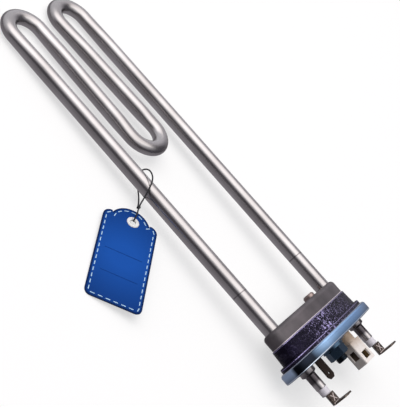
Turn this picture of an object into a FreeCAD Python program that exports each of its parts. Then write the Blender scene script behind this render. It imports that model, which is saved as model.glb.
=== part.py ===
import FreeCAD, Part
import math
import os

# Tubular immersion heater for a washing machine tub.
# +X points out of the tub towards the terminals, +Y runs across the two legs, and +Z is up,
# square to the plane that the tube is bent in. The origin is the centre of the face where
# the lip of the gasket meets the outside of the tub. All sizes are in millimetres.

# Heating tube: two legs, two far bends and one return bend between them
TUBE_D = 8.5
TUBE_WALL = 0.6
LEG_PITCH = 62.8
HAIRPIN_R = 11.0
RETURN_R = 11.45
HAIRPIN_X = -217.7
RETURN_X = -140.9
PRESSED_WIDTH = 8.8
PRESSED_HEIGHT = 7.5
HAIRPIN_BLEND = 24.0
RETURN_BLEND = 12.0
TUBE_PAST_RIM = 2.3
SWAGE_LENGTH = 1.2
NECK_D = 5.7
NECK_LENGTH = 8.3

# What the tube is filled with
FILL_CLEAR = 0.05
COIL_D = 3.2
PIN_D = 2.5
PIN_INSIDE = 60.0
PIN_PAST_BEAD = 6.2
BEAD_D = 4.2
BEAD_HEAD_D = 5.2
BEAD_LENGTH = 8.0
BEAD_EXPOSED = 4.0
BEAD_EDGE = 0.4

# Terminal blades, and the earth blade, all of one strip
BLADE_WIDTH = 6.3
BLADE_T = 0.8
BLADE_TOP = 10.8
BLADE_CORNER = 1.2
BLADE_HOLE_D = 1.6
BLADE_HOLE_FROM_TIP = 3.2
FOOT_GAP = 0.1
BEND_R = 0.5
WELD_RIDGE = 0.25
WELD_RIDGE_WIDTH = 0.6
WELD_RIDGE_LENGTH = 4.6
WELD_TURN = 42

# Flange outline: the inner plate's oval, how far the other ovals stand outside it all round,
# and how much longer still the lip and the outer plate are at each end
PLATE_PAST_LEG = 2.15
OVAL_LENGTH = LEG_PITCH + TUBE_D + 2 * PLATE_PAST_LEG
OVAL_HEIGHT = 22.6
OVAL_END_R = 6.2
BODY_GROW = 0.6
BODY_FLARE = 1.1
LIP_GROW = 2.8
LIP_LONGER = 1.0
PAN_GROW = 4.4
PAN_LONGER = 1.8

# Flange stack along X
BODY_DEPTH = 8.7
LIP_T = 2.4
LIP_EDGE = 0.7
INNER_DEPTH = 8.3
INNER_T = 1.5
INNER_EDGE = 2.4
PLUG_LENGTH = 46.0
PLUG_HEIGHT = 17.0
PLUG_CLEAR = 0.3
PLUG_END_FLAT = 1.0
PAN_DEPTH = 5.6
PAN_T = 1.2
PAN_EDGE = 1.6
RIM_ROUND = 0.5
BOSS_BASE_R = 10.0
BOSS_TOP_R = 7.8
BOSS_RISE = 6.6
LEG_CLEAR = 0.15

# Clamp stud, washer and nut
STUD_D = 6.0
STUD_HEAD_D = 12.0
STUD_HEAD_T = 1.5
STUD_CLEAR = 0.2
STUD_CHAMFER = 0.4
STUD_PAST_NUT = 2.8
WASHER_D = 12.5
WASHER_T = 1.4
NUT_WIDTH = 10.0
NUT_HEIGHT = 5.0

# Earth blade
EARTH_Y = -17.8
EARTH_LENGTH = 16.6
EARTH_FOOT = 8.0
EARTH_CORNER = 1.6

# Temperature sensor
SENSOR_Y = 15.0
PROBE_D = 6.6
PROBE_WALL = 0.4
PROBE_OUT = 2.2
PROBE_IN_NECK = 9.6
PROBE_NOSE = 0.8
SENSOR_CLEAR = 0.15
NECK_PLASTIC_D = 7.8
HOUSING_X = 14.2
HOUSING_LENGTH = 13.4
HOUSING_WIDTH = 11.3
HOUSING_HEIGHT = 7.2
HOUSING_WALL = 1.2
HOUSING_FLOOR = 2.3
HOUSING_EDGE = 0.9
TOP_WINDOW_LENGTH = 4.2
TOP_WINDOW_WIDTH = 6.0
TOP_WINDOW_FROM_MOUTH = 2.0
SIDE_WINDOW_LENGTH = 5.0
SIDE_WINDOW_HEIGHT = 4.0
SIDE_WINDOW_FROM_MOUTH = 4.2
CONTACT_D = 0.8
CONTACT_PITCH = 2.5
CONTACT_LENGTH = 11.0
CONTACT_FROM_PROBE = 1.0
LEAD_D = 0.6
THERMISTOR_D = 3.4
POTTING_CLEAR = 0.05

# Hang tag: its bottom corner rests on the surface and its head is held up by the thread
TAG_X = -73.4
TAG_Y = -99.85
TAG_TURN = 31.7
TAG_SLOPE = 4.0
TAG_ROLL = 8.0
TAG_T = 0.5
TAG_HALF_WIDTH = 14.55
TAG_LENGTH = 57.1
TAG_CORNER = 3.4
TAG_SHOULDER_R = 4.2
TAG_ARCH_HALF = 9.9
TAG_ARCH_RISE = 5.6
TAG_STEP = 0.9
EYELET_ACROSS = 1.2
EYELET_FROM_TOP = 2.4
EYELET_HOLE_D = 2.8
EYELET_D = 6.6
EYELET_T = 0.5
EYELET_ROUND = 0.3
THREAD_D = 0.8
KNOT_D = 2.4
THREAD_CORNER_SHARE = 0.45
KNOT_PLACE = (-105.9, -44.5, -2.2)
# Route of the thread: out of the eyelet, up over the near leg, round it and back to the knot
THREAD_ROUTE = [
    (-101.5, -52.2, -4.6),
    (-102.4, -51.6, -0.9),
    (-105.9, -44.8, -1.6),
    (-108.0, -39.7, 0.9),
    (-109.8, -36.8, 5.0),
    (-112.7, -32.6, 8.0),
    (-118.4, -27.0, 6.0),
    (-121.6, -26.6, 1.8),
    (-120.2, -26.8, -3.6),
    (-117.0, -25.8, -8.0),
    (-112.5, -30.0, -8.2),
    (-110.0, -34.8, -6.6),
    (-107.9, -39.6, -4.6),
    (-106.4, -43.9, -3.0),
]

# How far every cutting shape runs past the face that it opens
CUT_PAST = 1.0

# Sizes worked out from those above
LEG_Y = LEG_PITCH / 2
TUBE_R = TUBE_D / 2
RIM_X = LIP_T + PAN_DEPTH
FLOOR_X = LIP_T + PAN_T
SWAGE_X = RIM_X + TUBE_PAST_RIM
NECK_X = SWAGE_X + SWAGE_LENGTH
NECK_END_X = NECK_X + NECK_LENGTH
BEAD_END_X = NECK_END_X + BEAD_EXPOSED
BEAD_START_X = BEAD_END_X - BEAD_LENGTH
PIN_END_X = BEAD_END_X + PIN_PAST_BEAD
PIN_START_X = SWAGE_X - PIN_INSIDE
PLATE_X = -BODY_DEPTH - INNER_DEPTH
UNDER_PLATE_X = PLATE_X + INNER_T
BOSS_TOP_X = LIP_T + BOSS_RISE
NUT_X = BOSS_TOP_X + WASHER_T
STUD_END_X = NUT_X + NUT_HEIGHT + STUD_PAST_NUT
PROBE_TIP_X = PLATE_X - PROBE_OUT
PROBE_END_X = LIP_T + PROBE_IN_NECK
HOUSING_END_X = HOUSING_X + HOUSING_LENGTH
CONTACT_X = PROBE_END_X + CONTACT_FROM_PROBE
LOWEST_Z = -(OVAL_HEIGHT / 2 + PAN_GROW)
FAR_END_X = HAIRPIN_X - HAIRPIN_R
REST_RISE = (-PRESSED_HEIGHT / 2 - LOWEST_Z) / (RIM_X - FAR_END_X)

X_AXIS = FreeCAD.Vector(1, 0, 0)
Y_AXIS = FreeCAD.Vector(0, 1, 0)
Z_AXIS = FreeCAD.Vector(0, 0, 1)


def save(shape, node):
    """Write one piece to its own STEP file."""
    solids = shape.Solids
    body = solids[0] if len(solids) == 1 else Part.makeCompound(solids)
    body.exportStep("parts/" + node + ".step")
    print(node, len(solids), round(body.Volume, 2), body.isValid())


def rod(diameter, x_from, x_to, y=0.0, z=0.0):
    """Round bar along X."""
    return Part.makeCylinder(diameter / 2, x_to - x_from, FreeCAD.Vector(x_from, y, z), X_AXIS)


def block(x_from, x_to, y_from, y_to, z_from, z_to):
    """Rectangular block between two corners."""
    corner = FreeCAD.Vector(x_from, y_from, z_from)
    return Part.makeBox(x_to - x_from, y_to - y_from, z_to - z_from, corner)


def turned(points, y=0.0):
    """Solid turned about a line along X at height zero, from (x, radius) points."""
    corners = [FreeCAD.Vector(x, y + radius, 0) for x, radius in points]
    profile = Part.Face(Part.makePolygon(corners + corners[:1]))
    return profile.revolve(FreeCAD.Vector(0, y, 0), X_AXIS, 360)


def joined(shapes):
    """One solid out of pieces that share faces."""
    return shapes[0].fuse(shapes[1:]).removeSplitter()


def edges_at_x(shape, x):
    """The edges that lie wholly in the plane at x."""
    found = []
    for edge in shape.Edges:
        box = edge.BoundBox
        if abs(box.XMin - x) < 1e-4 and abs(box.XMax - x) < 1e-4:
            found.append(edge)
    return found


# The bent tube and what follows its centre line

def section(place, direction, width, height):
    """Round or oval wire across the tube's line, width in the plane of the bends."""
    if abs(width - height) < 1e-6:
        curve = Part.Circle(FreeCAD.Vector(), Z_AXIS, width / 2)
    else:
        curve = Part.Ellipse(FreeCAD.Vector(), width / 2, height / 2)
    wire = Part.Wire(curve.toShape())
    side = Z_AXIS.cross(direction)
    wire.Placement = FreeCAD.Placement(place, FreeCAD.Rotation(side, Z_AXIS, direction, "ZXY"))
    return wire


def blend(start, end, direction, start_size, end_size):
    """Straight length of tube that goes from one section to another."""
    wires = [section(start, direction, *start_size), section(end, direction, *end_size)]
    return Part.makeLoft(wires, True, True)


def bend(place, direction, size, centre, sweep):
    """Bend of one section, swept about its centre through an angle in degrees."""
    face = Part.Face(section(place, direction, *size))
    return face.revolve(centre, Z_AXIS, sweep)


def tube_line(inset, round_d, leg_end_x, pressed=True):
    """Solid along the whole centre line, inset from the tube's outside in the pressed bends."""
    plain = (round_d, round_d)
    flat = (PRESSED_WIDTH - 2 * inset, PRESSED_HEIGHT - 2 * inset) if pressed else plain
    far = FreeCAD.Vector(HAIRPIN_X, LEG_Y - HAIRPIN_R, 0)
    near = FreeCAD.Vector(RETURN_X, 0, 0)
    gap = near - far
    turn = math.asin((HAIRPIN_R + RETURN_R) / gap.Length) - math.atan2(-gap.y, gap.x)
    run = FreeCAD.Vector(math.cos(turn), math.sin(turn), 0)
    across = FreeCAD.Vector(-math.sin(turn), math.cos(turn), 0)
    leg_far = FreeCAD.Vector(HAIRPIN_X, LEG_Y, 0)
    leg_blend = leg_far + X_AXIS * HAIRPIN_BLEND
    leg_end = FreeCAD.Vector(leg_end_x, LEG_Y, 0)
    run_start = far - across * HAIRPIN_R
    run_end = near + across * RETURN_R
    run_plain_start = run_start + run * HAIRPIN_BLEND
    run_plain_end = run_end - run * RETURN_BLEND
    half_turn = 180 + math.degrees(turn)
    half = [
        blend(leg_blend, leg_end, X_AXIS, plain, plain),
        blend(leg_far, leg_blend, X_AXIS, flat, plain),
        bend(leg_far, X_AXIS, flat, far, half_turn),
        blend(run_start, run_plain_start, run, flat, plain),
        blend(run_plain_start, run_plain_end, run, plain, plain),
        blend(run_plain_end, run_end, run, plain, flat),
    ]
    mirrored = [piece.mirror(FreeCAD.Vector(), FreeCAD.Vector(0, 1, 0)) for piece in half]
    middle = bend(run_end, run, flat, near, -(180 + 2 * math.degrees(turn)))
    return joined(half + mirrored + [middle])


def sheath_end(side, inset, start_x, end_x):
    """Swaged end of one leg: the round tube drawn down to its neck."""
    outer = TUBE_R - inset
    neck = NECK_D / 2 - inset
    shift = inset / 2
    return turned([
        (start_x, 0),
        (start_x, outer),
        (SWAGE_X - shift, outer),
        (NECK_X - shift, neck),
        (end_x, neck),
        (end_x, 0),
    ], side * LEG_Y)


def heater_sheath():
    """Stainless tube, pressed flatter in its three bends and swaged down at both ends."""
    outside = [tube_line(0, TUBE_D, 0)]
    inside = [tube_line(TUBE_WALL, TUBE_D - 2 * TUBE_WALL, 0)]
    for side in (-1, 1):
        outside.append(sheath_end(side, 0, 0, NECK_END_X))
        inside.append(sheath_end(side, TUBE_WALL, 0, NECK_END_X + CUT_PAST))
    return joined(outside).cut(joined(inside))


def magnesia_filling():
    """Packed powder between the sheath and the coil and pins."""
    inset = TUBE_WALL + FILL_CLEAR
    outside = [tube_line(inset, TUBE_D - 2 * inset, 0)]
    inside = [tube_line(0, COIL_D + 2 * FILL_CLEAR, PIN_START_X, pressed=False)]
    for side in (-1, 1):
        outside.append(rod(TUBE_D - 2 * inset, 0, SWAGE_X - inset, side * LEG_Y))
        inside.append(rod(PIN_D + 2 * FILL_CLEAR, PIN_START_X, SWAGE_X, side * LEG_Y))
    return joined(outside).cut(joined(inside))


def resistance_coil():
    """Outer shape of the close wound resistance wire between the two pins."""
    return tube_line(0, COIL_D, PIN_START_X, pressed=False)


def cold_pin(side):
    """Steel pin that carries the current through the unheated end of a leg."""
    return rod(PIN_D, PIN_START_X, PIN_END_X, side * LEG_Y)


def end_seal(side):
    """Silicone plug that keeps damp out of the powder, inside the neck."""
    y = side * LEG_Y
    bore = PIN_D + 2 * FILL_CLEAR
    plug_d = NECK_D - 2 * TUBE_WALL - 2 * FILL_CLEAR
    return rod(plug_d, NECK_X, BEAD_START_X, y).cut(rod(bore, NECK_X, BEAD_START_X, y))


def end_bead(side):
    """Ceramic tube that centres the pin in the neck, with a wider head outside it."""
    radius = BEAD_D / 2
    head_r = BEAD_HEAD_D / 2
    bore = PIN_D + 2 * FILL_CLEAR
    body = turned([
        (BEAD_START_X, 0),
        (BEAD_START_X, radius),
        (NECK_END_X, radius),
        (NECK_END_X, head_r),
        (BEAD_END_X - BEAD_EDGE, head_r),
        (BEAD_END_X, head_r - BEAD_EDGE),
        (BEAD_END_X, 0),
    ], side * LEG_Y)
    return body.cut(rod(bore, BEAD_START_X, BEAD_END_X, side * LEG_Y))


# Blades cut from strip

def tip_corners(width, corner):
    """Outline points across a blade's tip as (across, short of the tip)."""
    half = width / 2
    return [(-half, corner), (-half + corner, 0), (half - corner, 0), (half, corner)]


def terminal_tab(side):
    """Strip welded on the pin, bent up at its end into a blade for a push-on connector."""
    y = side * LEG_Y
    foot_z = PIN_D / 2
    foot_x = BEAD_END_X + FOOT_GAP
    back_x = PIN_END_X - BLADE_T
    half = BLADE_WIDTH / 2
    strip = block(foot_x, PIN_END_X, y - half, y + half, foot_z, foot_z + BLADE_T)
    corners = [FreeCAD.Vector(back_x, y + across, BLADE_TOP - short)
               for across, short in tip_corners(BLADE_WIDTH, BLADE_CORNER)]
    corners.append(FreeCAD.Vector(back_x, y + half, foot_z))
    corners.insert(0, FreeCAD.Vector(back_x, y - half, foot_z))
    blade = Part.Face(Part.makePolygon(corners + corners[:1])).extrude(X_AXIS * BLADE_T)
    tab = joined([strip, blade])
    outer_bend = [edge for edge in tab.Edges
                  if abs(edge.BoundBox.XMin - PIN_END_X) < 1e-4 and edge.BoundBox.ZMax < foot_z + 1e-4]
    tab = tab.makeFillet(BEND_R + BLADE_T / 2, outer_bend)
    inner_bend = [edge for edge in tab.Edges
                  if abs(edge.BoundBox.XMax - back_x) < 1e-4 and abs(edge.BoundBox.XMin - back_x) < 1e-4
                  and abs(edge.BoundBox.ZMax - foot_z - BLADE_T) < 1e-4 and edge.BoundBox.YLength > half]
    tab = tab.makeFillet(BEND_R, inner_bend)
    hole_z = BLADE_TOP - BLADE_HOLE_FROM_TIP
    tab = tab.cut(rod(BLADE_HOLE_D, back_x - CUT_PAST, PIN_END_X + CUT_PAST, y, hole_z))
    middle = FreeCAD.Vector((foot_x + back_x) / 2, y, foot_z + BLADE_T)
    for turn in (-WELD_TURN, WELD_TURN):
        ridge = block(-WELD_RIDGE_LENGTH / 2, WELD_RIDGE_LENGTH / 2,
                      -WELD_RIDGE_WIDTH / 2, WELD_RIDGE_WIDTH / 2, -WELD_RIDGE, WELD_RIDGE)
        ridge.rotate(FreeCAD.Vector(), Z_AXIS, turn)
        ridge.translate(middle)
        tab = tab.fuse(ridge)
    return tab.removeSplitter()


def earth_tab():
    """Blade of the same strip, welded by its foot to the floor of the outer plate."""
    half = BLADE_WIDTH / 2
    low = -BLADE_T / 2
    foot = block(FLOOR_X, FLOOR_X + BLADE_T, EARTH_Y - half, EARTH_Y + half, low, low + EARTH_FOOT)
    end_x = FLOOR_X + EARTH_LENGTH
    corners = [FreeCAD.Vector(end_x - short, EARTH_Y + across, low)
               for across, short in tip_corners(BLADE_WIDTH, EARTH_CORNER)]
    corners.append(FreeCAD.Vector(FLOOR_X, EARTH_Y + half, low))
    corners.insert(0, FreeCAD.Vector(FLOOR_X, EARTH_Y - half, low))
    blade = Part.Face(Part.makePolygon(corners + corners[:1])).extrude(Z_AXIS * BLADE_T)
    tab = joined([foot, blade])
    bends = [edge for edge in tab.Edges
             if abs(edge.BoundBox.XMax - FLOOR_X) < 1e-4 and edge.BoundBox.ZMax < low + 1e-4]
    tab = tab.makeFillet(BEND_R + BLADE_T / 2, bends)
    hole_x = end_x - BLADE_HOLE_FROM_TIP
    drill_start = FreeCAD.Vector(hole_x, EARTH_Y, -CUT_PAST)
    drill = Part.makeCylinder(BLADE_HOLE_D / 2, 2 * CUT_PAST, drill_start, Z_AXIS)
    return tab.cut(drill)


# Flange

def oval(x, grow, longer=0.0):
    """Oval face across X: two end arcs and two wide side arcs, grown evenly and made longer."""
    length = OVAL_LENGTH / 2 + grow + longer
    height = OVAL_HEIGHT / 2 + grow
    end_r = OVAL_END_R + grow
    return oval_face(x, length, height, end_r)


def oval_face(x, length, height, end_r):
    """Oval face from its half length, half height and end radius."""
    centre = length - end_r
    side_r = (centre ** 2 + height ** 2 - end_r ** 2) / (2 * (height - end_r))
    reach = side_r - end_r
    touch_y = centre + end_r * centre / reach
    touch_z = end_r * (side_r - height) / reach

    def point(y, z):
        return FreeCAD.Vector(x, y, z)

    arcs = [
        Part.Arc(point(-touch_y, touch_z), point(0, height), point(touch_y, touch_z)),
        Part.Arc(point(touch_y, touch_z), point(length, 0), point(touch_y, -touch_z)),
        Part.Arc(point(touch_y, -touch_z), point(0, -height), point(-touch_y, -touch_z)),
        Part.Arc(point(-touch_y, -touch_z), point(-length, 0), point(-touch_y, touch_z)),
    ]
    return Part.Face(Part.Wire([arc.toShape() for arc in arcs]))


def oval_block(x_from, x_to, grow, longer=0.0):
    """Straight sided block of the oval outline."""
    return oval(x_from, grow, longer).extrude(X_AXIS * (x_to - x_from))


def leg_holes(x_from, x_to):
    """Clearance holes for both legs."""
    hole_d = TUBE_D + 2 * LEG_CLEAR
    return [rod(hole_d, x_from, x_to, side * LEG_Y) for side in (-1, 1)]


def inner_plate():
    """Pressed steel plate on the water side, its rim turned towards the gasket."""
    shell = oval_block(PLATE_X, -BODY_DEPTH, 0)
    shell = shell.makeFillet(INNER_EDGE, edges_at_x(shell, PLATE_X))
    hollow = oval_block(UNDER_PLATE_X, CUT_PAST - BODY_DEPTH, -INNER_T)
    hollow = hollow.makeFillet(INNER_EDGE - INNER_T, edges_at_x(hollow, UNDER_PLATE_X))
    probe_hole = rod(PROBE_D + 2 * SENSOR_CLEAR, PLATE_X - CUT_PAST, -BODY_DEPTH, SENSOR_Y)
    return shell.cut([hollow, probe_hole] + leg_holes(PLATE_X - CUT_PAST, -BODY_DEPTH))


def gasket():
    """Rubber body that fills the opening in the tub, with a lip outside and a plug inside."""
    wires = [oval(-BODY_DEPTH, BODY_GROW).OuterWire, oval(0, BODY_FLARE).OuterWire]
    body = Part.makeLoft(wires, True, True)
    lip = oval_block(0, LIP_T, LIP_GROW, LIP_LONGER)
    lip = lip.makeFillet(LIP_EDGE, edges_at_x(lip, 0))
    plug_x = UNDER_PLATE_X + PLUG_CLEAR
    plug = oval_face(plug_x, PLUG_LENGTH / 2, PLUG_HEIGHT / 2, PLUG_HEIGHT / 2 - PLUG_END_FLAT)
    plug = plug.extrude(X_AXIS * (-BODY_DEPTH - plug_x))
    whole = joined([body, lip, plug])
    stud_hole = rod(STUD_D + 2 * STUD_CLEAR, plug_x, LIP_T, 0)
    head_hole = rod(STUD_HEAD_D + 2 * STUD_CLEAR, plug_x, UNDER_PLATE_X + STUD_HEAD_T + STUD_CLEAR, 0)
    probe_hole = rod(PROBE_D + 2 * SENSOR_CLEAR, plug_x, LIP_T, SENSOR_Y)
    return whole.cut([stud_hole, head_hole, probe_hole] + leg_holes(-BODY_DEPTH, LIP_T))


def outer_plate():
    """Pressed steel pan outside the tub, its rim turned outwards, with a boss under the nut."""
    shell = oval_block(LIP_T, RIM_X, PAN_GROW, PAN_LONGER)
    shell = shell.makeFillet(PAN_EDGE, edges_at_x(shell, LIP_T))
    shell = shell.makeFillet(RIM_ROUND, edges_at_x(shell, RIM_X))
    hollow = oval_block(FLOOR_X, RIM_X + CUT_PAST, PAN_GROW - PAN_T, PAN_LONGER)
    hollow = hollow.makeFillet(PAN_EDGE - PAN_T, edges_at_x(hollow, FLOOR_X))
    boss = turned([(FLOOR_X, 0), (FLOOR_X, BOSS_BASE_R), (BOSS_TOP_X, BOSS_TOP_R), (BOSS_TOP_X, 0)])
    under_top_x = BOSS_TOP_X - PAN_T
    under_boss = turned([
        (LIP_T, 0),
        (LIP_T, BOSS_BASE_R - PAN_T),
        (under_top_x, BOSS_TOP_R - PAN_T),
        (under_top_x, 0),
    ])
    stud_hole = rod(STUD_D + 2 * STUD_CLEAR, LIP_T, BOSS_TOP_X)
    neck_hole = rod(NECK_PLASTIC_D + 2 * SENSOR_CLEAR, LIP_T, FLOOR_X, SENSOR_Y)
    pan = shell.cut(hollow).fuse(boss).cut([under_boss, stud_hole, neck_hole] + leg_holes(LIP_T, FLOOR_X))
    return pan.removeSplitter()


# Clamp fastening

def clamp_stud():
    """Stud welded by its flat head under the inner plate; the nut pulls both plates together."""
    head_end = UNDER_PLATE_X + STUD_HEAD_T
    radius = STUD_D / 2
    return turned([
        (UNDER_PLATE_X, 0),
        (UNDER_PLATE_X, STUD_HEAD_D / 2),
        (head_end, STUD_HEAD_D / 2),
        (head_end, radius),
        (STUD_END_X - STUD_CHAMFER, radius),
        (STUD_END_X, radius - STUD_CHAMFER),
        (STUD_END_X, 0),
    ])


def plain_washer():
    """Flat washer between the boss and the nut."""
    disc = rod(WASHER_D, BOSS_TOP_X, NUT_X)
    return disc.cut(rod(STUD_D + 2 * STUD_CLEAR, BOSS_TOP_X, NUT_X))


def clamp_nut():
    """Hexagon nut with both faces chamfered at the corners."""
    corner_r = NUT_WIDTH / math.sqrt(3)
    flat_r = NUT_WIDTH / 2
    end_x = NUT_X + NUT_HEIGHT
    chamfer = (corner_r - flat_r) / math.sqrt(3)
    corners = [FreeCAD.Vector(NUT_X, corner_r * math.cos(math.radians(60 * k)),
                              corner_r * math.sin(math.radians(60 * k))) for k in range(6)]
    prism = Part.Face(Part.makePolygon(corners + corners[:1])).extrude(X_AXIS * NUT_HEIGHT)
    turned_outside = turned([
        (NUT_X, 0),
        (NUT_X, flat_r),
        (NUT_X + chamfer, corner_r),
        (end_x - chamfer, corner_r),
        (end_x, flat_r),
        (end_x, 0),
    ])
    return prism.common(turned_outside).cut(rod(STUD_D, NUT_X, end_x))


# Temperature sensor

def sensor_probe():
    """Closed metal sleeve that reaches through the gasket into the water."""
    radius = PROBE_D / 2
    bore = radius - PROBE_WALL
    return turned([
        (PROBE_TIP_X, 0),
        (PROBE_TIP_X, radius - PROBE_NOSE),
        (PROBE_TIP_X + PROBE_NOSE, radius),
        (PROBE_END_X, radius),
        (PROBE_END_X, bore),
        (PROBE_TIP_X + PROBE_NOSE, bore),
        (PROBE_TIP_X + PROBE_WALL, bore - PROBE_NOSE / 2),
        (PROBE_TIP_X + PROBE_WALL, 0),
    ], SENSOR_Y)


def thermistor_x():
    """Centre of the sensing bead, just behind the probe's nose."""
    return PROBE_TIP_X + PROBE_WALL + PROBE_NOSE + THERMISTOR_D / 2


def thermistor():
    """Sensing bead at the tip of the probe."""
    return Part.makeSphere(THERMISTOR_D / 2, FreeCAD.Vector(thermistor_x(), SENSOR_Y, 0))


def sensor_wires(diameter, x_from, x_to):
    """Two parallel round wires at the contacts' pitch."""
    offsets = (-CONTACT_PITCH / 2, CONTACT_PITCH / 2)
    return [rod(diameter, x_from, x_to, SENSOR_Y + offset) for offset in offsets]


def sensor_leads():
    """Wires from the sensing bead to the contacts."""
    bead = thermistor()
    wires = sensor_wires(LEAD_D, thermistor_x(), CONTACT_X)
    return Part.makeCompound([wire.cut(bead) for wire in wires])


def sensor_contacts():
    """Two contact pins in the socket."""
    return Part.makeCompound(sensor_wires(CONTACT_D, CONTACT_X, CONTACT_X + CONTACT_LENGTH))


def sensor_potting():
    """Resin round the bead and the leads inside the sleeve."""
    fill_d = PROBE_D - 2 * PROBE_WALL - 2 * POTTING_CLEAR
    fill = rod(fill_d, PROBE_TIP_X + PROBE_NOSE + POTTING_CLEAR, PROBE_END_X, SENSOR_Y)
    bead = Part.makeSphere(THERMISTOR_D / 2 + POTTING_CLEAR, FreeCAD.Vector(thermistor_x(), SENSOR_Y, 0))
    wires = sensor_wires(LEAD_D + 2 * POTTING_CLEAR, thermistor_x(), PROBE_END_X)
    return fill.cut([bead] + wires)


def sensor_housing():
    """Moulded socket with a neck over the probe, and a window in its top and near side."""
    low_y = SENSOR_Y - HOUSING_WIDTH / 2
    high_y = SENSOR_Y + HOUSING_WIDTH / 2
    half_z = HOUSING_HEIGHT / 2
    body = block(HOUSING_X, HOUSING_END_X, low_y, high_y, -half_z, half_z)
    long_edges = [edge for edge in body.Edges if edge.BoundBox.XLength > HOUSING_LENGTH - 1e-4]
    body = body.makeFillet(HOUSING_EDGE, long_edges)
    neck = rod(NECK_PLASTIC_D, LIP_T, HOUSING_X, SENSOR_Y)
    whole = joined([body, neck])
    cavity = block(HOUSING_X + HOUSING_FLOOR, HOUSING_END_X + CUT_PAST,
                   low_y + HOUSING_WALL, high_y - HOUSING_WALL,
                   HOUSING_WALL - half_z, half_z - HOUSING_WALL)
    probe_bore = rod(PROBE_D + 2 * POTTING_CLEAR, LIP_T - CUT_PAST, PROBE_END_X, SENSOR_Y)
    lead_bore = rod(PROBE_D - 2 * PROBE_WALL, PROBE_END_X - CUT_PAST, CONTACT_X, SENSOR_Y)
    top_end = HOUSING_END_X - TOP_WINDOW_FROM_MOUTH
    top_window = block(top_end - TOP_WINDOW_LENGTH, top_end,
                       SENSOR_Y - TOP_WINDOW_WIDTH / 2, SENSOR_Y + TOP_WINDOW_WIDTH / 2,
                       0, half_z + CUT_PAST)
    side_end = HOUSING_END_X - SIDE_WINDOW_FROM_MOUTH
    side_window = block(side_end - SIDE_WINDOW_LENGTH, side_end, low_y - CUT_PAST, SENSOR_Y,
                        -SIDE_WINDOW_HEIGHT / 2, SIDE_WINDOW_HEIGHT / 2)
    contact_holes = sensor_wires(CONTACT_D, CONTACT_X - CUT_PAST, HOUSING_X + HOUSING_FLOOR + CUT_PAST)
    return whole.cut([cavity, probe_bore, lead_bore, top_window, side_window] + contact_holes)


# Hang tag with its eyelet and thread

def rest_height(x):
    """Height of the surface that the heater lies on, which its rim and far bends touch."""
    return LOWEST_Z + REST_RISE * (RIM_X - x)


def tag_rotation():
    """Turn of the card about the upright, then its slope lengthways and its roll sideways."""
    turn = FreeCAD.Rotation(Z_AXIS, TAG_TURN)
    slope = FreeCAD.Rotation(X_AXIS, TAG_SLOPE)
    roll = FreeCAD.Rotation(Y_AXIS, -TAG_ROLL)
    return turn.multiply(slope).multiply(roll)


def on_tag(across, along, lift=0.0):
    """Point on the card, across and along it from the middle of its bottom edge."""
    rotation = tag_rotation()
    corner = rotation.multVec(FreeCAD.Vector(TAG_CORNER - TAG_HALF_WIDTH, TAG_CORNER, 0))
    fall = TAG_CORNER * math.hypot(rotation.multVec(X_AXIS).z, rotation.multVec(Y_AXIS).z)
    base_z = rest_height(TAG_X + corner.x) - corner.z + fall
    place = rotation.multVec(FreeCAD.Vector(across, along, lift))
    return place + FreeCAD.Vector(TAG_X, TAG_Y, base_z)


def tag_disc(diameter, low, high):
    """Round bar through the card at the eyelet, square to the card."""
    start = on_tag(EYELET_ACROSS, TAG_LENGTH - EYELET_FROM_TOP, low)
    return Part.makeCylinder(diameter / 2, high - low, start, tag_rotation().multVec(Z_AXIS))


def hang_tag():
    """Card with rounded lower corners, and an arched head between two rounded shoulders."""
    wide = TAG_HALF_WIDTH
    long = TAG_LENGTH
    low = TAG_CORNER
    top = TAG_SHOULDER_R
    arch = TAG_ARCH_HALF
    step = TAG_STEP
    diagonal = 1 - math.sqrt(0.5)

    def line(a, b):
        return Part.LineSegment(on_tag(*a), on_tag(*b)).toShape()

    def arc(a, b, c):
        return Part.Arc(on_tag(*a), on_tag(*b), on_tag(*c)).toShape()

    edges = [
        line((-wide + low, 0), (wide - low, 0)),
        arc((wide - low, 0), (wide - low * diagonal, low * diagonal), (wide, low)),
        line((wide, low), (wide, long - top)),
        arc((wide, long - top), (wide - top * diagonal, long - top * diagonal), (wide - top, long)),
        line((wide - top, long), (arch, long - step)),
        arc((arch, long - step), (0, long + TAG_ARCH_RISE), (-arch, long - step)),
        line((-arch, long - step), (-wide + top, long)),
        arc((-wide + top, long), (-wide + top * diagonal, long - top * diagonal), (-wide, long - top)),
        line((-wide, long - top), (-wide, low)),
        arc((-wide, low), (-wide + low * diagonal, low * diagonal), (-wide + low, 0)),
    ]
    card = Part.Face(Part.Wire(edges)).extrude(tag_rotation().multVec(Z_AXIS) * TAG_T)
    return card.cut(tag_disc(EYELET_HOLE_D + EYELET_T, -CUT_PAST, TAG_T + CUT_PAST))


def tag_eyelet():
    """Ring set in the card: a rounded flange on top of a short barrel."""
    flange = tag_disc(EYELET_D, TAG_T, TAG_T + EYELET_T)
    top_z = on_tag(EYELET_ACROSS, TAG_LENGTH - EYELET_FROM_TOP, TAG_T + EYELET_T).z
    rims = [edge for edge in flange.Edges if len(edge.Vertexes) == 1]
    top_rim = [edge for edge in rims if abs(edge.CenterOfMass.z - top_z) < EYELET_T / 4]
    flange = flange.makeFillet(EYELET_ROUND, top_rim)
    barrel = tag_disc(EYELET_HOLE_D + EYELET_T, 0, TAG_T)
    return joined([flange, barrel]).cut(tag_disc(EYELET_HOLE_D, -CUT_PAST, TAG_T + EYELET_T + CUT_PAST))


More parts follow.
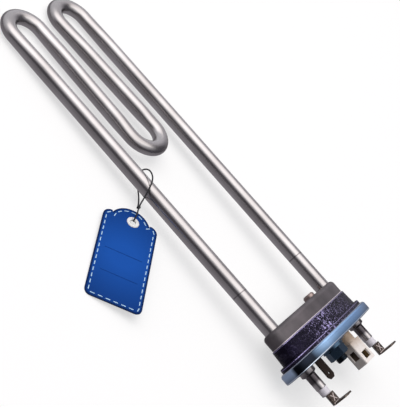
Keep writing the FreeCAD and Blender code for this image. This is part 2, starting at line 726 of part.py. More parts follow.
def thread_wire():
    """Straight runs joined by arcs as large as the runs allow, and the list of the arcs' radii."""
    points = [FreeCAD.Vector(*place) for place in THREAD_ROUTE]
    edges = []
    radii = []
    last = points[0]
    for before, corner, after in zip(points, points[1:], points[2:]):
        to_before = before - corner
        to_after = after - corner
        cut = THREAD_CORNER_SHARE * min(to_before.Length, to_after.Length)
        to_before.normalize()
        to_after.normalize()
        half_turn = (math.pi - to_before.getAngle(to_after)) / 2
        radius = cut / math.tan(half_turn)
        start = corner + to_before * cut
        end = corner + to_after * cut
        inward = to_before + to_after
        inward.normalize()
        middle = corner + inward * (radius / math.cos(half_turn) - radius)
        edges.append(Part.LineSegment(last, start).toShape())
        edges.append(Part.Arc(start, middle, end).toShape())
        radii.append(round(radius, 2))
        last = end
    edges.append(Part.LineSegment(last, points[-1]).toShape())
    return Part.Wire(edges), radii


def tag_thread():
    """Thread loop round the near leg, with a knot where its two strands meet."""
    route, radii = thread_wire()
    print("thread length", round(route.Length, 1), "radii", radii)
    start = FreeCAD.Vector(*THREAD_ROUTE[0])
    along = FreeCAD.Vector(*THREAD_ROUTE[1]) - start
    ring = Part.Wire(Part.Circle(start, along, THREAD_D / 2).toShape())
    tube = route.makePipeShell([ring], True, False)
    expected = math.pi * THREAD_D ** 2 / 4 * route.Length
    print("thread volume", round(tube.Volume, 2), "expected", round(expected, 2))
    knot = Part.makeSphere(KNOT_D / 2, FreeCAD.Vector(*KNOT_PLACE))
    return tube.fuse(knot).removeSplitter()


os.makedirs("parts", exist_ok=True)
save(heater_sheath(), "heater_sheath")
save(magnesia_filling(), "magnesia_filling")
save(resistance_coil(), "resistance_coil")
for hand, side in (("left", -1), ("right", 1)):
    save(cold_pin(side), "cold_pin_" + hand)
    save(end_seal(side), "end_seal_" + hand)
    save(end_bead(side), "end_bead_" + hand)
    save(terminal_tab(side), "terminal_tab_" + hand)
save(inner_plate(), "inner_plate")
save(gasket(), "gasket")
save(outer_plate(), "outer_plate")
save(clamp_stud(), "clamp_stud")
save(plain_washer(), "plain_washer")
save(clamp_nut(), "clamp_nut")
save(earth_tab(), "earth_tab")
save(sensor_probe(), "sensor_probe")
save(thermistor(), "thermistor")
save(sensor_leads(), "sensor_leads")
save(sensor_contacts(), "sensor_contacts")
save(sensor_potting(), "sensor_potting")
save(sensor_housing(), "sensor_housing")
save(hang_tag(), "hang_tag")
save(tag_eyelet(), "tag_eyelet")
save(tag_thread(), "tag_thread")
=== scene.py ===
import math

import bmesh
import bpy
from mathutils import Matrix, Vector


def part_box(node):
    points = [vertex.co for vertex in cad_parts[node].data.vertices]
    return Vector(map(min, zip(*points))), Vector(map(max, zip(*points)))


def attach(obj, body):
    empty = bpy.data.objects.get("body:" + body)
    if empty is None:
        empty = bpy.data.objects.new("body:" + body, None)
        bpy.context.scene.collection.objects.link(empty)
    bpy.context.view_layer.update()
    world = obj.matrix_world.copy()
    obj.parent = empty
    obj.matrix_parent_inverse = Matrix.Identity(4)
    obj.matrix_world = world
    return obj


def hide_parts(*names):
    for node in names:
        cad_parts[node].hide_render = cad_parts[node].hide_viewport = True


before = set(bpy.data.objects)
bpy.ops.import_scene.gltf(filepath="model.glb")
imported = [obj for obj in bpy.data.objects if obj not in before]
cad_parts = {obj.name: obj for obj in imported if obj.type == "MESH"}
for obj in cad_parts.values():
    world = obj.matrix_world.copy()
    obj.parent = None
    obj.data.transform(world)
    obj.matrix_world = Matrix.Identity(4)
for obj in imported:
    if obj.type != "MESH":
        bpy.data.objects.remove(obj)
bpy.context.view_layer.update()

# Camera: the photograph's view of the heater, from in front of the near leg and above it,
# rolled so that the legs run from the upper left to the lower right. The picture is a little
# higher than wide, so the camera's sensor size runs along its height.
CAMERA_PLACE = Vector((-0.01522, -0.49561, 0.32470))
CAMERA_RIGHT = Vector((0.6545, 0.4847, 0.5803))
CAMERA_UP = Vector((-0.7451, 0.2835, 0.6036))
FOCAL_PIXELS = 1139.26
PHOTO_HEIGHT = 407
SEEN_AS_FAR_AS = 10

camera_data = bpy.data.cameras.new("camera")
camera_data.lens = FOCAL_PIXELS * camera_data.sensor_width / PHOTO_HEIGHT
camera_data.clip_end = SEEN_AS_FAR_AS
camera = bpy.data.objects.new("camera", camera_data)
bpy.context.scene.collection.objects.link(camera)
camera_back = CAMERA_RIGHT.cross(CAMERA_UP)
camera_axes = Matrix((CAMERA_RIGHT, CAMERA_UP, camera_back)).transposed()
camera.matrix_world = Matrix.Translation(CAMERA_PLACE) @ camera_axes.to_4x4()
bpy.context.scene.camera = camera
bpy.context.scene.view_settings.view_transform = "Standard"


# Floor: a pale table that the heater lies on. The lower edge of the outer plate's rim and the
# undersides of the two far bends touch it, so it rises a little towards the bends.
def linear(code):
    """sRGB hex colour as linear red, green, blue and alpha."""
    shades = []
    for start in (1, 3, 5):
        value = int(code[start:start + 2], 16) / 255
        shades.append(value / 12.92 if value <= 0.04045 else ((value + 0.055) / 1.055) ** 2.4)
    return (*shades, 1.0)


def add(tree, kind, settings=None, links=None):
    """Add one node to a material's or the world's tree, with its settings and its links."""
    made = tree.nodes.new(kind)
    for name, value in (settings or {}).items():
        if isinstance(name, int) or name in made.inputs:
            made.inputs[name].default_value = value
        else:
            setattr(made, name, value)
    for name, source in (links or {}).items():
        tree.links.new(source, made.inputs[name])
    return made


def new_material(name):
    """Empty node material."""
    material = bpy.data.materials.new(name)
    material.use_nodes = True
    material.node_tree.nodes.clear()
    return material


def finish_with(material, shader):
    """Send a shader to the material's surface."""
    add(material.node_tree, "ShaderNodeOutputMaterial", links={"Surface": shader.outputs[0]})
    return material


def start_piece():
    """Deselect all, so that a new primitive stands alone."""
    if bpy.context.object and bpy.context.object.mode != "OBJECT":
        bpy.ops.object.mode_set(mode="OBJECT")
    bpy.ops.object.select_all(action="DESELECT")


FLOOR_HALF = 3.0
RIM_X = 0.008
LOWEST_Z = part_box("outer_plate")[0].z
BEND_X = -0.2287
BEND_LOW_Z = -0.00375
PAGE_SHARE = 0.6
floor_rise = (BEND_LOW_Z - LOWEST_Z) / (BEND_X - RIM_X)

start_piece()
bpy.ops.mesh.primitive_plane_add(size=2 * FLOOR_HALF)
floor = bpy.context.object
floor.name = "floor"
for vertex in floor.data.vertices:
    vertex.co.z = LOWEST_Z + floor_rise * (vertex.co.x - RIM_X)

white_table = new_material("white_laminate_table")
# Matt white laminate: a plain white page to the eye, of which PAGE_SHARE keeps its own white and
# the rest takes soft grey shadows. Metal mirrors it as a mid grey, as a table away from the lamps.
tree = white_table.node_tree
path = add(tree, "ShaderNodeLightPath")
mirrored = add(tree, "ShaderNodeMath", {"operation": "MAXIMUM"}, {
    0: path.outputs["Is Glossy Ray"], 1: path.outputs["Is Transmission Ray"],
})
paper = add(tree, "ShaderNodeBsdfDiffuse", {"Color": linear("#ffffff")})
page = add(tree, "ShaderNodeEmission", {"Color": linear("#ffffff"), "Strength": 1.0})
seen = add(tree, "ShaderNodeMixShader", {0: PAGE_SHARE}, {1: paper.outputs[0], 2: page.outputs[0]})
mirror_grey = add(tree, "ShaderNodeEmission", {"Color": linear("#928f94"), "Strength": 1.0})
bounce_grey = add(tree, "ShaderNodeBsdfDiffuse", {"Color": linear("#7f7c7c")})
unseen = add(tree, "ShaderNodeMixShader", links={
    0: mirrored.outputs[0], 1: bounce_grey.outputs[0], 2: mirror_grey.outputs[0],
})
table = add(tree, "ShaderNodeMixShader", links={
    0: path.outputs["Is Camera Ray"], 1: unseen.outputs[0], 2: seen.outputs[0],
})
finish_with(white_table, table)
floor.data.materials.append(white_table)

# Light: a grey room, paler towards the bends, with one long softbox and a big warm key lamp
# overhead, and a weak cool fill lamp at the camera's right. Round polished metal then shows a
# bright upper band between a dark stripe and a grey one.
PALE_WALL_SIDE = Vector((-0.9, 0.35, 0))
WALL_TONES = ((0.0, "#525055"), (0.26, "#949297"), (0.48, "#bcbabf"), (0.75, "#cacace"))
ROOM_STRENGTH = 1.35
# The softbox fades in between two cosines round the legs, and out between two shares along them.
SOFTBOX_SIDE = Vector((0, -0.156, 0.988)).normalized()
SOFTBOX_ROUND = (0.67, 0.99)
SOFTBOX_ENDS = (0.38, 0.92)
SOFTBOX_STRENGTH = 1.1


def lay_tones(ramp, tones):
    """Give a colour ramp its stops, each a place and an sRGB hex colour."""
    stops = ramp.color_ramp.elements
    while len(stops) < len(tones):
        stops.new(0.5)
    for stop, (position, code) in zip(stops, tones):
        stop.position = position
        stop.color = linear(code)


world = bpy.data.worlds.new("studio")
bpy.context.scene.world = world
world.use_nodes = True
tree = world.node_tree
tree.nodes.clear()
direction = add(tree, "ShaderNodeTexCoord")
towards = add(tree, "ShaderNodeVectorMath", {"operation": "DOT_PRODUCT", 1: PALE_WALL_SIDE},
              {0: direction.outputs["Generated"]})
walls = add(tree, "ShaderNodeValToRGB", links={0: towards.outputs["Value"]})
lay_tones(walls, WALL_TONES)
flat = add(tree, "ShaderNodeVectorMath", {"operation": "MULTIPLY", 1: (0, 1, 1)},
           {0: direction.outputs["Generated"]})
round_legs = add(tree, "ShaderNodeVectorMath", {"operation": "NORMALIZE"}, {0: flat.outputs[0]})
facing = add(tree, "ShaderNodeVectorMath", {"operation": "DOT_PRODUCT", 1: SOFTBOX_SIDE},
             {0: round_legs.outputs[0]})
middle = add(tree, "ShaderNodeMapRange", {"From Min": SOFTBOX_ROUND[0], "From Max": SOFTBOX_ROUND[1]},
             {"Value": facing.outputs["Value"]})
axes = add(tree, "ShaderNodeSeparateXYZ", links={0: direction.outputs["Generated"]})
sideways = add(tree, "ShaderNodeMath", {"operation": "ABSOLUTE"}, {0: axes.outputs["X"]})
ends = add(tree, "ShaderNodeMapRange", {"From Min": SOFTBOX_ENDS[1], "From Max": SOFTBOX_ENDS[0]},
           {"Value": sideways.outputs[0]})
softbox = add(tree, "ShaderNodeMath", {"operation": "MULTIPLY"}, {0: middle.outputs[0], 1: ends.outputs[0]})
lit = add(tree, "ShaderNodeMath", {"operation": "MULTIPLY", 1: SOFTBOX_STRENGTH}, {0: softbox.outputs[0]})
dim = add(tree, "ShaderNodeBackground", {"Strength": ROOM_STRENGTH}, {"Color": walls.outputs[0]})
bright = add(tree, "ShaderNodeBackground", {"Color": linear("#ffffff")}, {"Strength": lit.outputs[0]})
room = add(tree, "ShaderNodeAddShader", links={0: dim.outputs[0], 1: bright.outputs[0]})
backdrop = add(tree, "ShaderNodeBackground", {"Color": linear("#ffffff"), "Strength": 1.0})
path = add(tree, "ShaderNodeLightPath")
studio = add(tree, "ShaderNodeMixShader", links={
    0: path.outputs["Is Camera Ray"], 1: room.outputs[0], 2: backdrop.outputs[0],
})
add(tree, "ShaderNodeOutputWorld", links={"Surface": studio.outputs[0]})


def add_lamp(name, place, target, size, watts, shade):
    """Square soft lamp at a place, turned to a target."""
    data = bpy.data.lights.new(name, "AREA")
    data.size = size
    data.energy = watts
    data.color = linear(shade)[:3]
    lamp = bpy.data.objects.new(name, data)
    bpy.context.scene.collection.objects.link(lamp)
    lamp.location = place
    lamp.rotation_euler = (Vector(target) - Vector(place)).to_track_quat("-Z", "Y").to_euler()


LAMP_TARGET = (-0.05, 0, 0)
add_lamp("key_lamp", (-0.3, 0.12, 1.15), LAMP_TARGET, size=1.5, watts=6.2, shade="#fff8f2")
add_lamp("fill_lamp", (0.5, -0.9, 0.9), LAMP_TARGET, size=0.8, watts=0.15, shade="#f2f6ff")


# Heating tube: one stainless tube, bent in a flat tool that presses its three bends wider than
# they are high, and drawn down to a neck at both ends. It was polished after bending.
TUBE_R = 0.00425
NECK_R = 0.00285
NECK_BORE_R = 0.00225
NECK_EDGE = 0.00012
NECK_FLARE = 1.05
LEG_Y = -0.0314
NECK_END_X = 0.0198
NECK_X = 0.0115
SWAGE_X = 0.0103
SEAL_X = 0.0118
HAIRPIN_X = -0.2177
HAIRPIN_R = 0.011
RETURN_X = -0.1409
RETURN_R = 0.01145
HAIRPIN_BLEND = 0.024
RETURN_BLEND = 0.012
WIDER = 8.8 / 8.5
LOWER = 7.5 / 8.5
TUBE_SIDES = 64
SWAGE_STEPS = 6
LEG_STEPS = 10
BLEND_STEPS = 8
HAIRPIN_STEPS = 56
RETURN_STEPS = 32
ON_MIRROR = 0.00001
MERGE_WITHIN = 0.000002
SCRATCH_LONG = 0.004167
SCRATCH_WIDE = 0.0002778
HAZE_SIZE = 0.01818
STEEL_TONES = ((0.3, "#aaa6a6"), (0.7, "#bcb9ba"))
NECK_SPAN = (0.006, 0.02)
# Painted shade over the swages and necks, fading out again before the necks' ends.
NECK_SHADE_TONES = ((0.0, "#ffffff"), (0.36, "#8b878c"), (0.66, "#7a767b"), (0.78, "#ffffff"))
# Painted reflection bands, as shares of the steel's colour: least on the upper flank, more on the crown, most
# underneath.
FLANK_Z = 0.0016
CROWN_Z = 0.0026
FLANK_SHARE = 0.8
CROWN_GAIN = 0.2
UNDERSIDE_SHARE = 1.35
# One fine line round each leg, a little nearer to the flange on the far one.
MARK_X = -0.0399
MARK_SKEW = 0.035
MARK_HALF = 0.0004


def edge_line(tree, across, middle, half):
    """Mask that is 1 in a thin band of X round a middle, and 0 elsewhere."""
    off = add(tree, "ShaderNodeMath", {"operation": "SUBTRACT", 1: middle}, {0: across})
    far = add(tree, "ShaderNodeMath", {"operation": "ABSOLUTE"}, {0: off.outputs[0]})
    return add(tree, "ShaderNodeMapRange", {"From Min": half, "From Max": half / 2},
               {"Value": far.outputs[0]})


polished_tube = new_material("polished_stainless_tube")
# Stainless steel, centreless polished: a near neutral grey, finely scratched along the tube,
# with painted reflection bands darkest along its upper flank, and painted shade on the necks.
tree = polished_tube.node_tree
place = add(tree, "ShaderNodeTexCoord")
axes = add(tree, "ShaderNodeSeparateXYZ", links={0: place.outputs["Object"]})
along = add(tree, "ShaderNodeMapping", {"Scale": (1 / SCRATCH_LONG, 1 / SCRATCH_WIDE, 1 / SCRATCH_WIDE)},
            {0: place.outputs["Object"]})
scratch = add(tree, "ShaderNodeTexNoise", {"Scale": 1.0, "Detail": 4.0}, {0: along.outputs[0]})
haze = add(tree, "ShaderNodeTexNoise", {"Scale": 1 / HAZE_SIZE, "Detail": 3.0}, {0: place.outputs["Object"]})
shine = add(tree, "ShaderNodeMapRange", {"To Min": 0.18, "To Max": 0.28}, {"Value": haze.outputs[0]})
tone = add(tree, "ShaderNodeValToRGB", links={0: haze.outputs[0]})
lay_tones(tone, STEEL_TONES)
# Painted reflection: the upper flank darkened, the crown and the underside lightened.
under = add(tree, "ShaderNodeMapRange", {
    "From Min": FLANK_Z, "From Max": -FLANK_Z, "To Min": FLANK_SHARE, "To Max": UNDERSIDE_SHARE,
}, {"Value": axes.outputs["Z"]})
crown = add(tree, "ShaderNodeMapRange", {"From Min": FLANK_Z, "From Max": CROWN_Z, "To Max": CROWN_GAIN},
            {"Value": axes.outputs["Z"]})
painted_reflection_share = add(tree, "ShaderNodeMath", {"operation": "ADD"}, {0: under.outputs[0], 1: crown.outputs[0]})
steel_with_painted_reflection = add(tree, "ShaderNodeVectorMath", {"operation": "SCALE"},
             {0: tone.outputs[0], "Scale": painted_reflection_share.outputs[0]})
neck = add(tree, "ShaderNodeMapRange", {"From Min": NECK_SPAN[0], "From Max": NECK_SPAN[1]},
           {"Value": axes.outputs["X"]})
painted_neck_shade = add(tree, "ShaderNodeValToRGB", links={0: neck.outputs[0]})
lay_tones(painted_neck_shade, NECK_SHADE_TONES)
neck_shaded = add(tree, "ShaderNodeMix", {"data_type": "RGBA", "blend_type": "MULTIPLY", 0: 1.0},
             {6: steel_with_painted_reflection.outputs[0], 7: painted_neck_shade.outputs[0]})
skewed = add(tree, "ShaderNodeMath", {"operation": "MULTIPLY_ADD", 1: -MARK_SKEW},
             {0: axes.outputs["Y"], 2: axes.outputs["X"]})
mark = edge_line(tree, skewed.outputs[0], MARK_X, MARK_HALF)
marked = add(tree, "ShaderNodeMix", {"data_type": "RGBA", 7: linear("#868284")},
             {0: mark.outputs[0], 6: neck_shaded.outputs[2]})
relief = add(tree, "ShaderNodeBump", {"Strength": 0.1, "Distance": 0.00001}, {"Height": scratch.outputs[0]})
steel = add(tree, "ShaderNodeBsdfPrincipled", {"Metallic": 1.0}, {
    "Base Color": marked.outputs[2], "Roughness": shine.outputs[0], "Normal": relief.outputs[0],
})
finish_with(polished_tube, steel)


def close_piece(name, material, smooth=35):
    """Name the active object, put its place into its mesh, and give it a finish and a body."""
    piece = bpy.context.object
    if piece.mode != "OBJECT":
        bpy.ops.object.mode_set(mode="OBJECT")
    piece.name = name
    piece.data.name = name
    bpy.ops.object.transform_apply(location=True, rotation=True, scale=True)
    bpy.ops.object.shade_smooth_by_angle(angle=math.radians(smooth))
    piece.data.materials.clear()
    piece.data.materials.append(material)
    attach(piece, "root")
    return piece


def outward():
    """Merge doubles and turn every face of the active object outwards."""
    bpy.ops.object.mode_set(mode="EDIT")
    bpy.ops.mesh.select_all(action="SELECT")
    bpy.ops.mesh.remove_doubles(threshold=MERGE_WITHIN)
    bpy.ops.mesh.normals_make_consistent(inside=False)
    bpy.ops.object.mode_set(mode="OBJECT")


def extrude(shift):
    """Extrude what is selected by a shift."""
    bpy.ops.mesh.extrude_region_move(TRANSFORM_OT_translate={"value": shift})


def selected_centre():
    """Middle of the selected vertices of the object in edit mode."""
    mesh = bmesh.from_edit_mesh(bpy.context.object.data)
    points = [vertex.co for vertex in mesh.verts if vertex.select]
    return sum(points, Vector()) / len(points)


def resize_here(wide, high):
    """Scale what is selected about its own middle, square to the legs."""
    bpy.ops.transform.resize(value=(1, wide, high), center_override=selected_centre())


def eased(step, steps):
    """Share of a smooth change from 0 to 1 after a number of its steps."""
    return (1 - math.cos(math.pi * step / steps)) / 2


def press(shift, wide, low):
    """Extrude in steps while the section goes smoothly from round to oval, or back."""
    before = (1.0, 1.0)
    for step in range(1, BLEND_STEPS + 1):
        ease = eased(step, BLEND_STEPS)
        now = (1 + (wide - 1) * ease, 1 + (low - 1) * ease)
        extrude(tuple(part / BLEND_STEPS for part in shift))
        resize_here(now[0] / before[0], now[1] / before[1])
        before = now


# The slanting run between a far bend and the near one touches both bends.
gap_x = RETURN_X - HAIRPIN_X
gap_y = -LEG_Y - HAIRPIN_R
run_turn = math.asin((HAIRPIN_R + RETURN_R) / math.hypot(gap_x, gap_y)) - math.atan2(gap_y, gap_x)
run_length = math.sqrt(gap_x ** 2 + gap_y ** 2 - (HAIRPIN_R + RETURN_R) ** 2)
run_x = math.cos(run_turn)
run_y = -math.sin(run_turn)
plain_run = run_length - HAIRPIN_BLEND - RETURN_BLEND

start_piece()
bpy.ops.mesh.primitive_circle_add(
    vertices=TUBE_SIDES, radius=NECK_BORE_R, location=(SEAL_X, LEG_Y, 0), rotation=(0, math.pi / 2, 0),
)
bpy.ops.object.transform_apply(location=True, rotation=True, scale=True)
bpy.ops.object.mode_set(mode="EDIT")
bpy.ops.mesh.select_all(action="SELECT")
face_r = NECK_R - NECK_EDGE
face_grow = face_r / NECK_BORE_R / NECK_FLARE
extrude((NECK_END_X - SEAL_X - NECK_EDGE, 0, 0))
extrude((NECK_EDGE, 0, 0))
resize_here(NECK_FLARE, NECK_FLARE)
extrude((0, 0, 0))
resize_here(face_grow, face_grow)
extrude((-NECK_EDGE, 0, 0))
resize_here(NECK_R / face_r, NECK_R / face_r)
extrude((NECK_X - NECK_END_X + NECK_EDGE, 0, 0))
last_r = NECK_R
for step in range(1, SWAGE_STEPS + 1):
    radius = NECK_R + (TUBE_R - NECK_R) * eased(step, SWAGE_STEPS)
    extrude(((SWAGE_X - NECK_X) / SWAGE_STEPS, 0, 0))
    resize_here(radius / last_r, radius / last_r)
    last_r = radius
for step in range(LEG_STEPS):
    extrude(((HAIRPIN_X + HAIRPIN_BLEND - SWAGE_X) / LEG_STEPS, 0, 0))
press((-HAIRPIN_BLEND, 0, 0), WIDER, LOWER)
bpy.ops.mesh.spin(
    steps=HAIRPIN_STEPS, angle=math.pi + run_turn, center=(HAIRPIN_X, LEG_Y + HAIRPIN_R, 0), axis=(0, 0, 1),
)
press((HAIRPIN_BLEND * run_x, HAIRPIN_BLEND * run_y, 0), 1 / WIDER, 1 / LOWER)
extrude((plain_run * run_x, plain_run * run_y, 0))
press((RETURN_BLEND * run_x, RETURN_BLEND * run_y, 0), WIDER, LOWER)
bpy.ops.mesh.spin(
    steps=RETURN_STEPS, angle=-(math.pi / 2 + run_turn), center=(RETURN_X, 0, 0), axis=(0, 0, 1),
)
bpy.ops.object.mode_set(mode="OBJECT")
tube = bpy.context.object
for vertex in tube.data.vertices:
    if abs(vertex.co.y) < ON_MIRROR:
        vertex.co.y = 0
mirror = tube.modifiers.new("other_half", "MIRROR")
mirror.use_axis = (False, True, False)
mirror.merge_threshold = 2 * ON_MIRROR
bpy.ops.object.modifier_apply(modifier=mirror.name)
outward()
tube = close_piece("tube", polished_tube, 40)
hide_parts("heater_sheath")


# Inside the tube: packed magnesia, the wound wire and the two cold pins. The pins' free ends
# show beyond the beads, under the terminals.
MOTTLE_SHARE = 0.82
GLOSS_SPREAD = (0.85, 1.2)


def plain_finish(name, code, metallic, rough, grain, depth, specular=0.5):
    """Surface of one colour, a little mottled, with a grain of a real size and depth in metres."""
    material = new_material(name)
    tree = material.node_tree
    place = add(tree, "ShaderNodeTexCoord")
    noise = add(tree, "ShaderNodeTexNoise", {"Scale": 1 / grain, "Detail": 3.0}, {0: place.outputs["Object"]})
    shade = linear(code)
    ramp = add(tree, "ShaderNodeValToRGB", links={0: noise.outputs[0]})
    ramp.color_ramp.elements[0].position = 0.3
    ramp.color_ramp.elements[0].color = (*[part * MOTTLE_SHARE for part in shade[:3]], 1)
    ramp.color_ramp.elements[1].position = 0.7
    ramp.color_ramp.elements[1].color = shade
    relief = add(tree, "ShaderNodeBump", {"Strength": 0.5, "Distance": depth}, {"Height": noise.outputs[0]})
    gloss = add(tree, "ShaderNodeMapRange", {
        "To Min": rough * GLOSS_SPREAD[0], "To Max": min(1.0, rough * GLOSS_SPREAD[1]),
    }, {"Value": noise.outputs[0]})
    body = add(tree, "ShaderNodeBsdfPrincipled", {"Metallic": metallic, "Specular IOR Level": specular}, {
        "Base Color": ramp.outputs[0], "Roughness": gloss.outputs[0], "Normal": relief.outputs[0],
    })
    return finish_with(material, body)


def refinish(node, material):
    """Give a node that stays as it is its finish."""
    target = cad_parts[node]
    target.data.materials.clear()
    target.data.materials.append(material)


# Drawn steel pin: plain grey metal with a soft shine.
drawn_pin = plain_finish("drawn_steel_pin", "#8d8a88", metallic=1.0, rough=0.35,
                         grain=0.0004, depth=0.00001)
# Packed magnesium oxide: chalky off-white without any shine.
packed_magnesia = plain_finish("packed_magnesia", "#e6e3dc", metallic=0.0, rough=0.95,
                               grain=0.0003, depth=0.00005)
# Nickel chrome wire, close wound: brownish grey metal, a little dull.
wound_wire = plain_finish("nickel_chrome_wire", "#6d655c", metallic=1.0, rough=0.45,
                          grain=0.0005, depth=0.00003)
refinish("magnesia_filling", packed_magnesia)
refinish("resistance_coil", wound_wire)
for hand in ("left", "right"):
    refinish("cold_pin_" + hand, drawn_pin)

# End seals and beads: a silicone plug and, over it, a fired ceramic tube that stands out of
# the neck and keeps the pin in its middle.

# Cast silicone: brick red and matt.
cast_silicone = plain_finish("cast_silicone", "#b4543f", metallic=0.0, rough=0.6,
                             grain=0.0006, depth=0.00002)
# Fired steatite: cool white ceramic with a faint sheen.
fired_ceramic = plain_finish("fired_steatite", "#e9e6ee", metallic=0.0, rough=0.42,
                             grain=0.0005, depth=0.00001)
for hand in ("left", "right"):
    refinish("end_seal_" + hand, cast_silicone)
    refinish("end_bead_" + hand, fired_ceramic)

# Terminals: plated strip, spot welded on the pins with a crossed electrode that leaves an X,
# and bent up into blades.
STRIP_TOP_Z = 0.00205
WELD_FOOT = (0.00002, 0.00008)
WELD_CREST = (0.0003, 0.0004)
BLOT_SIZE = 0.001111
STRIP_TONES = ((0.35, "#3f342e"), (0.65, "#7d7067"))

plated_strip = new_material("tinned_steel_strip")
# Tinned steel strip: dull and browned by the welding heat, bright on the weld's raised X.
tree = plated_strip.node_tree
place = add(tree, "ShaderNodeTexCoord")
axes = add(tree, "ShaderNodeSeparateXYZ", links={0: place.outputs["Object"]})
blot = add(tree, "ShaderNodeTexNoise", {"Scale": 1 / BLOT_SIZE, "Detail": 3.0}, {0: place.outputs["Object"]})
browned = add(tree, "ShaderNodeValToRGB", links={0: blot.outputs[0]})
lay_tones(browned, STRIP_TONES)
above = add(tree, "ShaderNodeMapRange", {
    "From Min": STRIP_TOP_Z + WELD_FOOT[0], "From Max": STRIP_TOP_Z + WELD_FOOT[1],
}, {"Value": axes.outputs["Z"]})
below = add(tree, "ShaderNodeMapRange", {
    "From Min": STRIP_TOP_Z + WELD_CREST[0], "From Max": STRIP_TOP_Z + WELD_CREST[1],
    "To Min": 1.0, "To Max": 0.0,
}, {"Value": axes.outputs["Z"]})
weld = add(tree, "ShaderNodeMath", {"operation": "MULTIPLY"}, {0: above.outputs[0], 1: below.outputs[0]})
tint = add(tree, "ShaderNodeMix", {"data_type": "RGBA", 7: linear("#fbeee8")},
           {0: weld.outputs[0], 6: browned.outputs[0]})
relief = add(tree, "ShaderNodeBump", {"Strength": 0.5, "Distance": 0.00003}, {"Height": blot.outputs[0]})
strip_body = add(tree, "ShaderNodeBsdfPrincipled", {"Metallic": 0.85, "Roughness": 0.34}, {
    "Base Color": tint.outputs[2], "Normal": relief.outputs[0],
})
finish_with(plated_strip, strip_body)
for hand in ("left", "right"):
    refinish("terminal_tab_" + hand, plated_strip)

# Inner plate: a deep pressed steel tray on the water side. The stud pulls its rim against the
# gasket, and it is phosphated to a dull brownish grey.
TRAY_EDGE_X = -0.0089
EDGE_GLINT_HALF = 0.0003
GRAIN_SIZE = 0.00125
STAIN_SIZE = 0.01111
PHOSPHATE_TONES = ((0.35, "#524e51"), (0.65, "#655f63"))

phosphated = new_material("phosphated_steel")
# Phosphate coat: dull warm grey with a fine grain, with a painted highlight along the cut edge.
tree = phosphated.node_tree
place = add(tree, "ShaderNodeTexCoord")
axes = add(tree, "ShaderNodeSeparateXYZ", links={0: place.outputs["Object"]})
grain = add(tree, "ShaderNodeTexNoise", {"Scale": 1 / GRAIN_SIZE, "Detail": 3.0},
            {0: place.outputs["Object"]})
stain = add(tree, "ShaderNodeTexNoise", {"Scale": 1 / STAIN_SIZE, "Detail": 3.0},
            {0: place.outputs["Object"]})
tone = add(tree, "ShaderNodeValToRGB", links={0: stain.outputs[0]})
lay_tones(tone, PHOSPHATE_TONES)
# Painted highlight: a thin pale line along the tray's cut edge.
painted_edge_glint = edge_line(tree, axes.outputs["X"], TRAY_EDGE_X, EDGE_GLINT_HALF)
tint = add(tree, "ShaderNodeMix", {"data_type": "RGBA", 7: linear("#d8d0d6")},
           {0: painted_edge_glint.outputs[0], 6: tone.outputs[0]})
relief = add(tree, "ShaderNodeBump", {"Strength": 0.4, "Distance": 0.00002}, {"Height": grain.outputs[0]})
coat = add(tree, "ShaderNodeBsdfPrincipled", {"Metallic": 0.5, "Roughness": 0.46}, {
    "Base Color": tint.outputs[2], "Normal": relief.outputs[0],
})
finish_with(phosphated, coat)
refinish("inner_plate", phosphated)

# Gasket: one moulding of black rubber, squeezed between the plates, so that its side has
# shallow wrinkles, with painted glints on them.
BODY_EDGE_X = -0.0084
LIP_EDGE_X = 0.0008
EDGE_HIGHLIGHT_HALF = 0.00025
EDGE_HIGHLIGHT_SHARE = 0.5
WRINKLE_SIZE = 0.001316
WRINKLE_DRAWN = (0.75, 0.8, 0.4)
GLINT_NOISE_SIZE = 0.002326
PATCH_SIZE = 0.01429
FLECK_RANGE = (0.53, 0.64)
# How much of the painted glints shows along the oval, from its near end to its far one.
GLINT_SPAN = (-0.025, 0.035)
GLINT_SHARES = ((0.0, 0.04), (0.28, 1.0), (0.6, 0.5), (1.0, 0.1))
RUBBER_TONES = ((0.35, "#0c0b10"), (0.65, "#1c1926"))

rubber_with_glints = new_material("black_rubber_painted_glints")
# Moulded rubber: nearly black, violet where it mirrors the light, with painted glints as bright
# flecks on its wrinkles and painted highlights as thin bright lines along its two pressed edges.
tree = rubber_with_glints.node_tree
place = add(tree, "ShaderNodeTexCoord")
axes = add(tree, "ShaderNodeSeparateXYZ", links={0: place.outputs["Object"]})
drawn = add(tree, "ShaderNodeMapping", {"Scale": WRINKLE_DRAWN}, {0: place.outputs["Object"]})
wrinkles = add(tree, "ShaderNodeTexNoise", {"Scale": 1 / WRINKLE_SIZE, "Detail": 4.0, "Distortion": 2.0},
               {0: drawn.outputs[0]})
patch = add(tree, "ShaderNodeTexNoise", {"Scale": 1 / PATCH_SIZE, "Detail": 2.0},
            {0: place.outputs["Object"]})
relief = add(tree, "ShaderNodeBump", {"Strength": 0.8, "Distance": 0.0007}, {"Height": wrinkles.outputs[0]})
gloss = add(tree, "ShaderNodeMapRange", {"To Min": 0.16, "To Max": 0.42}, {"Value": patch.outputs[0]})
tone = add(tree, "ShaderNodeValToRGB", links={0: patch.outputs[0]})
lay_tones(tone, RUBBER_TONES)
rubber = add(tree, "ShaderNodeBsdfPrincipled", {
    "Specular Tint": linear("#9a86e0"), "Specular IOR Level": 0.18,
}, {"Base Color": tone.outputs[0], "Roughness": gloss.outputs[0], "Normal": relief.outputs[0]})
glint_shader = add(tree, "ShaderNodeBsdfPrincipled", {
    "Metallic": 1.0, "Base Color": linear("#cbc0f8"), "Roughness": 0.22,
}, {"Normal": relief.outputs[0]})
glint_noise = add(tree, "ShaderNodeTexNoise", {"Scale": 1 / GLINT_NOISE_SIZE, "Detail": 7.0, "Distortion": 3.0},
            {0: drawn.outputs[0]})
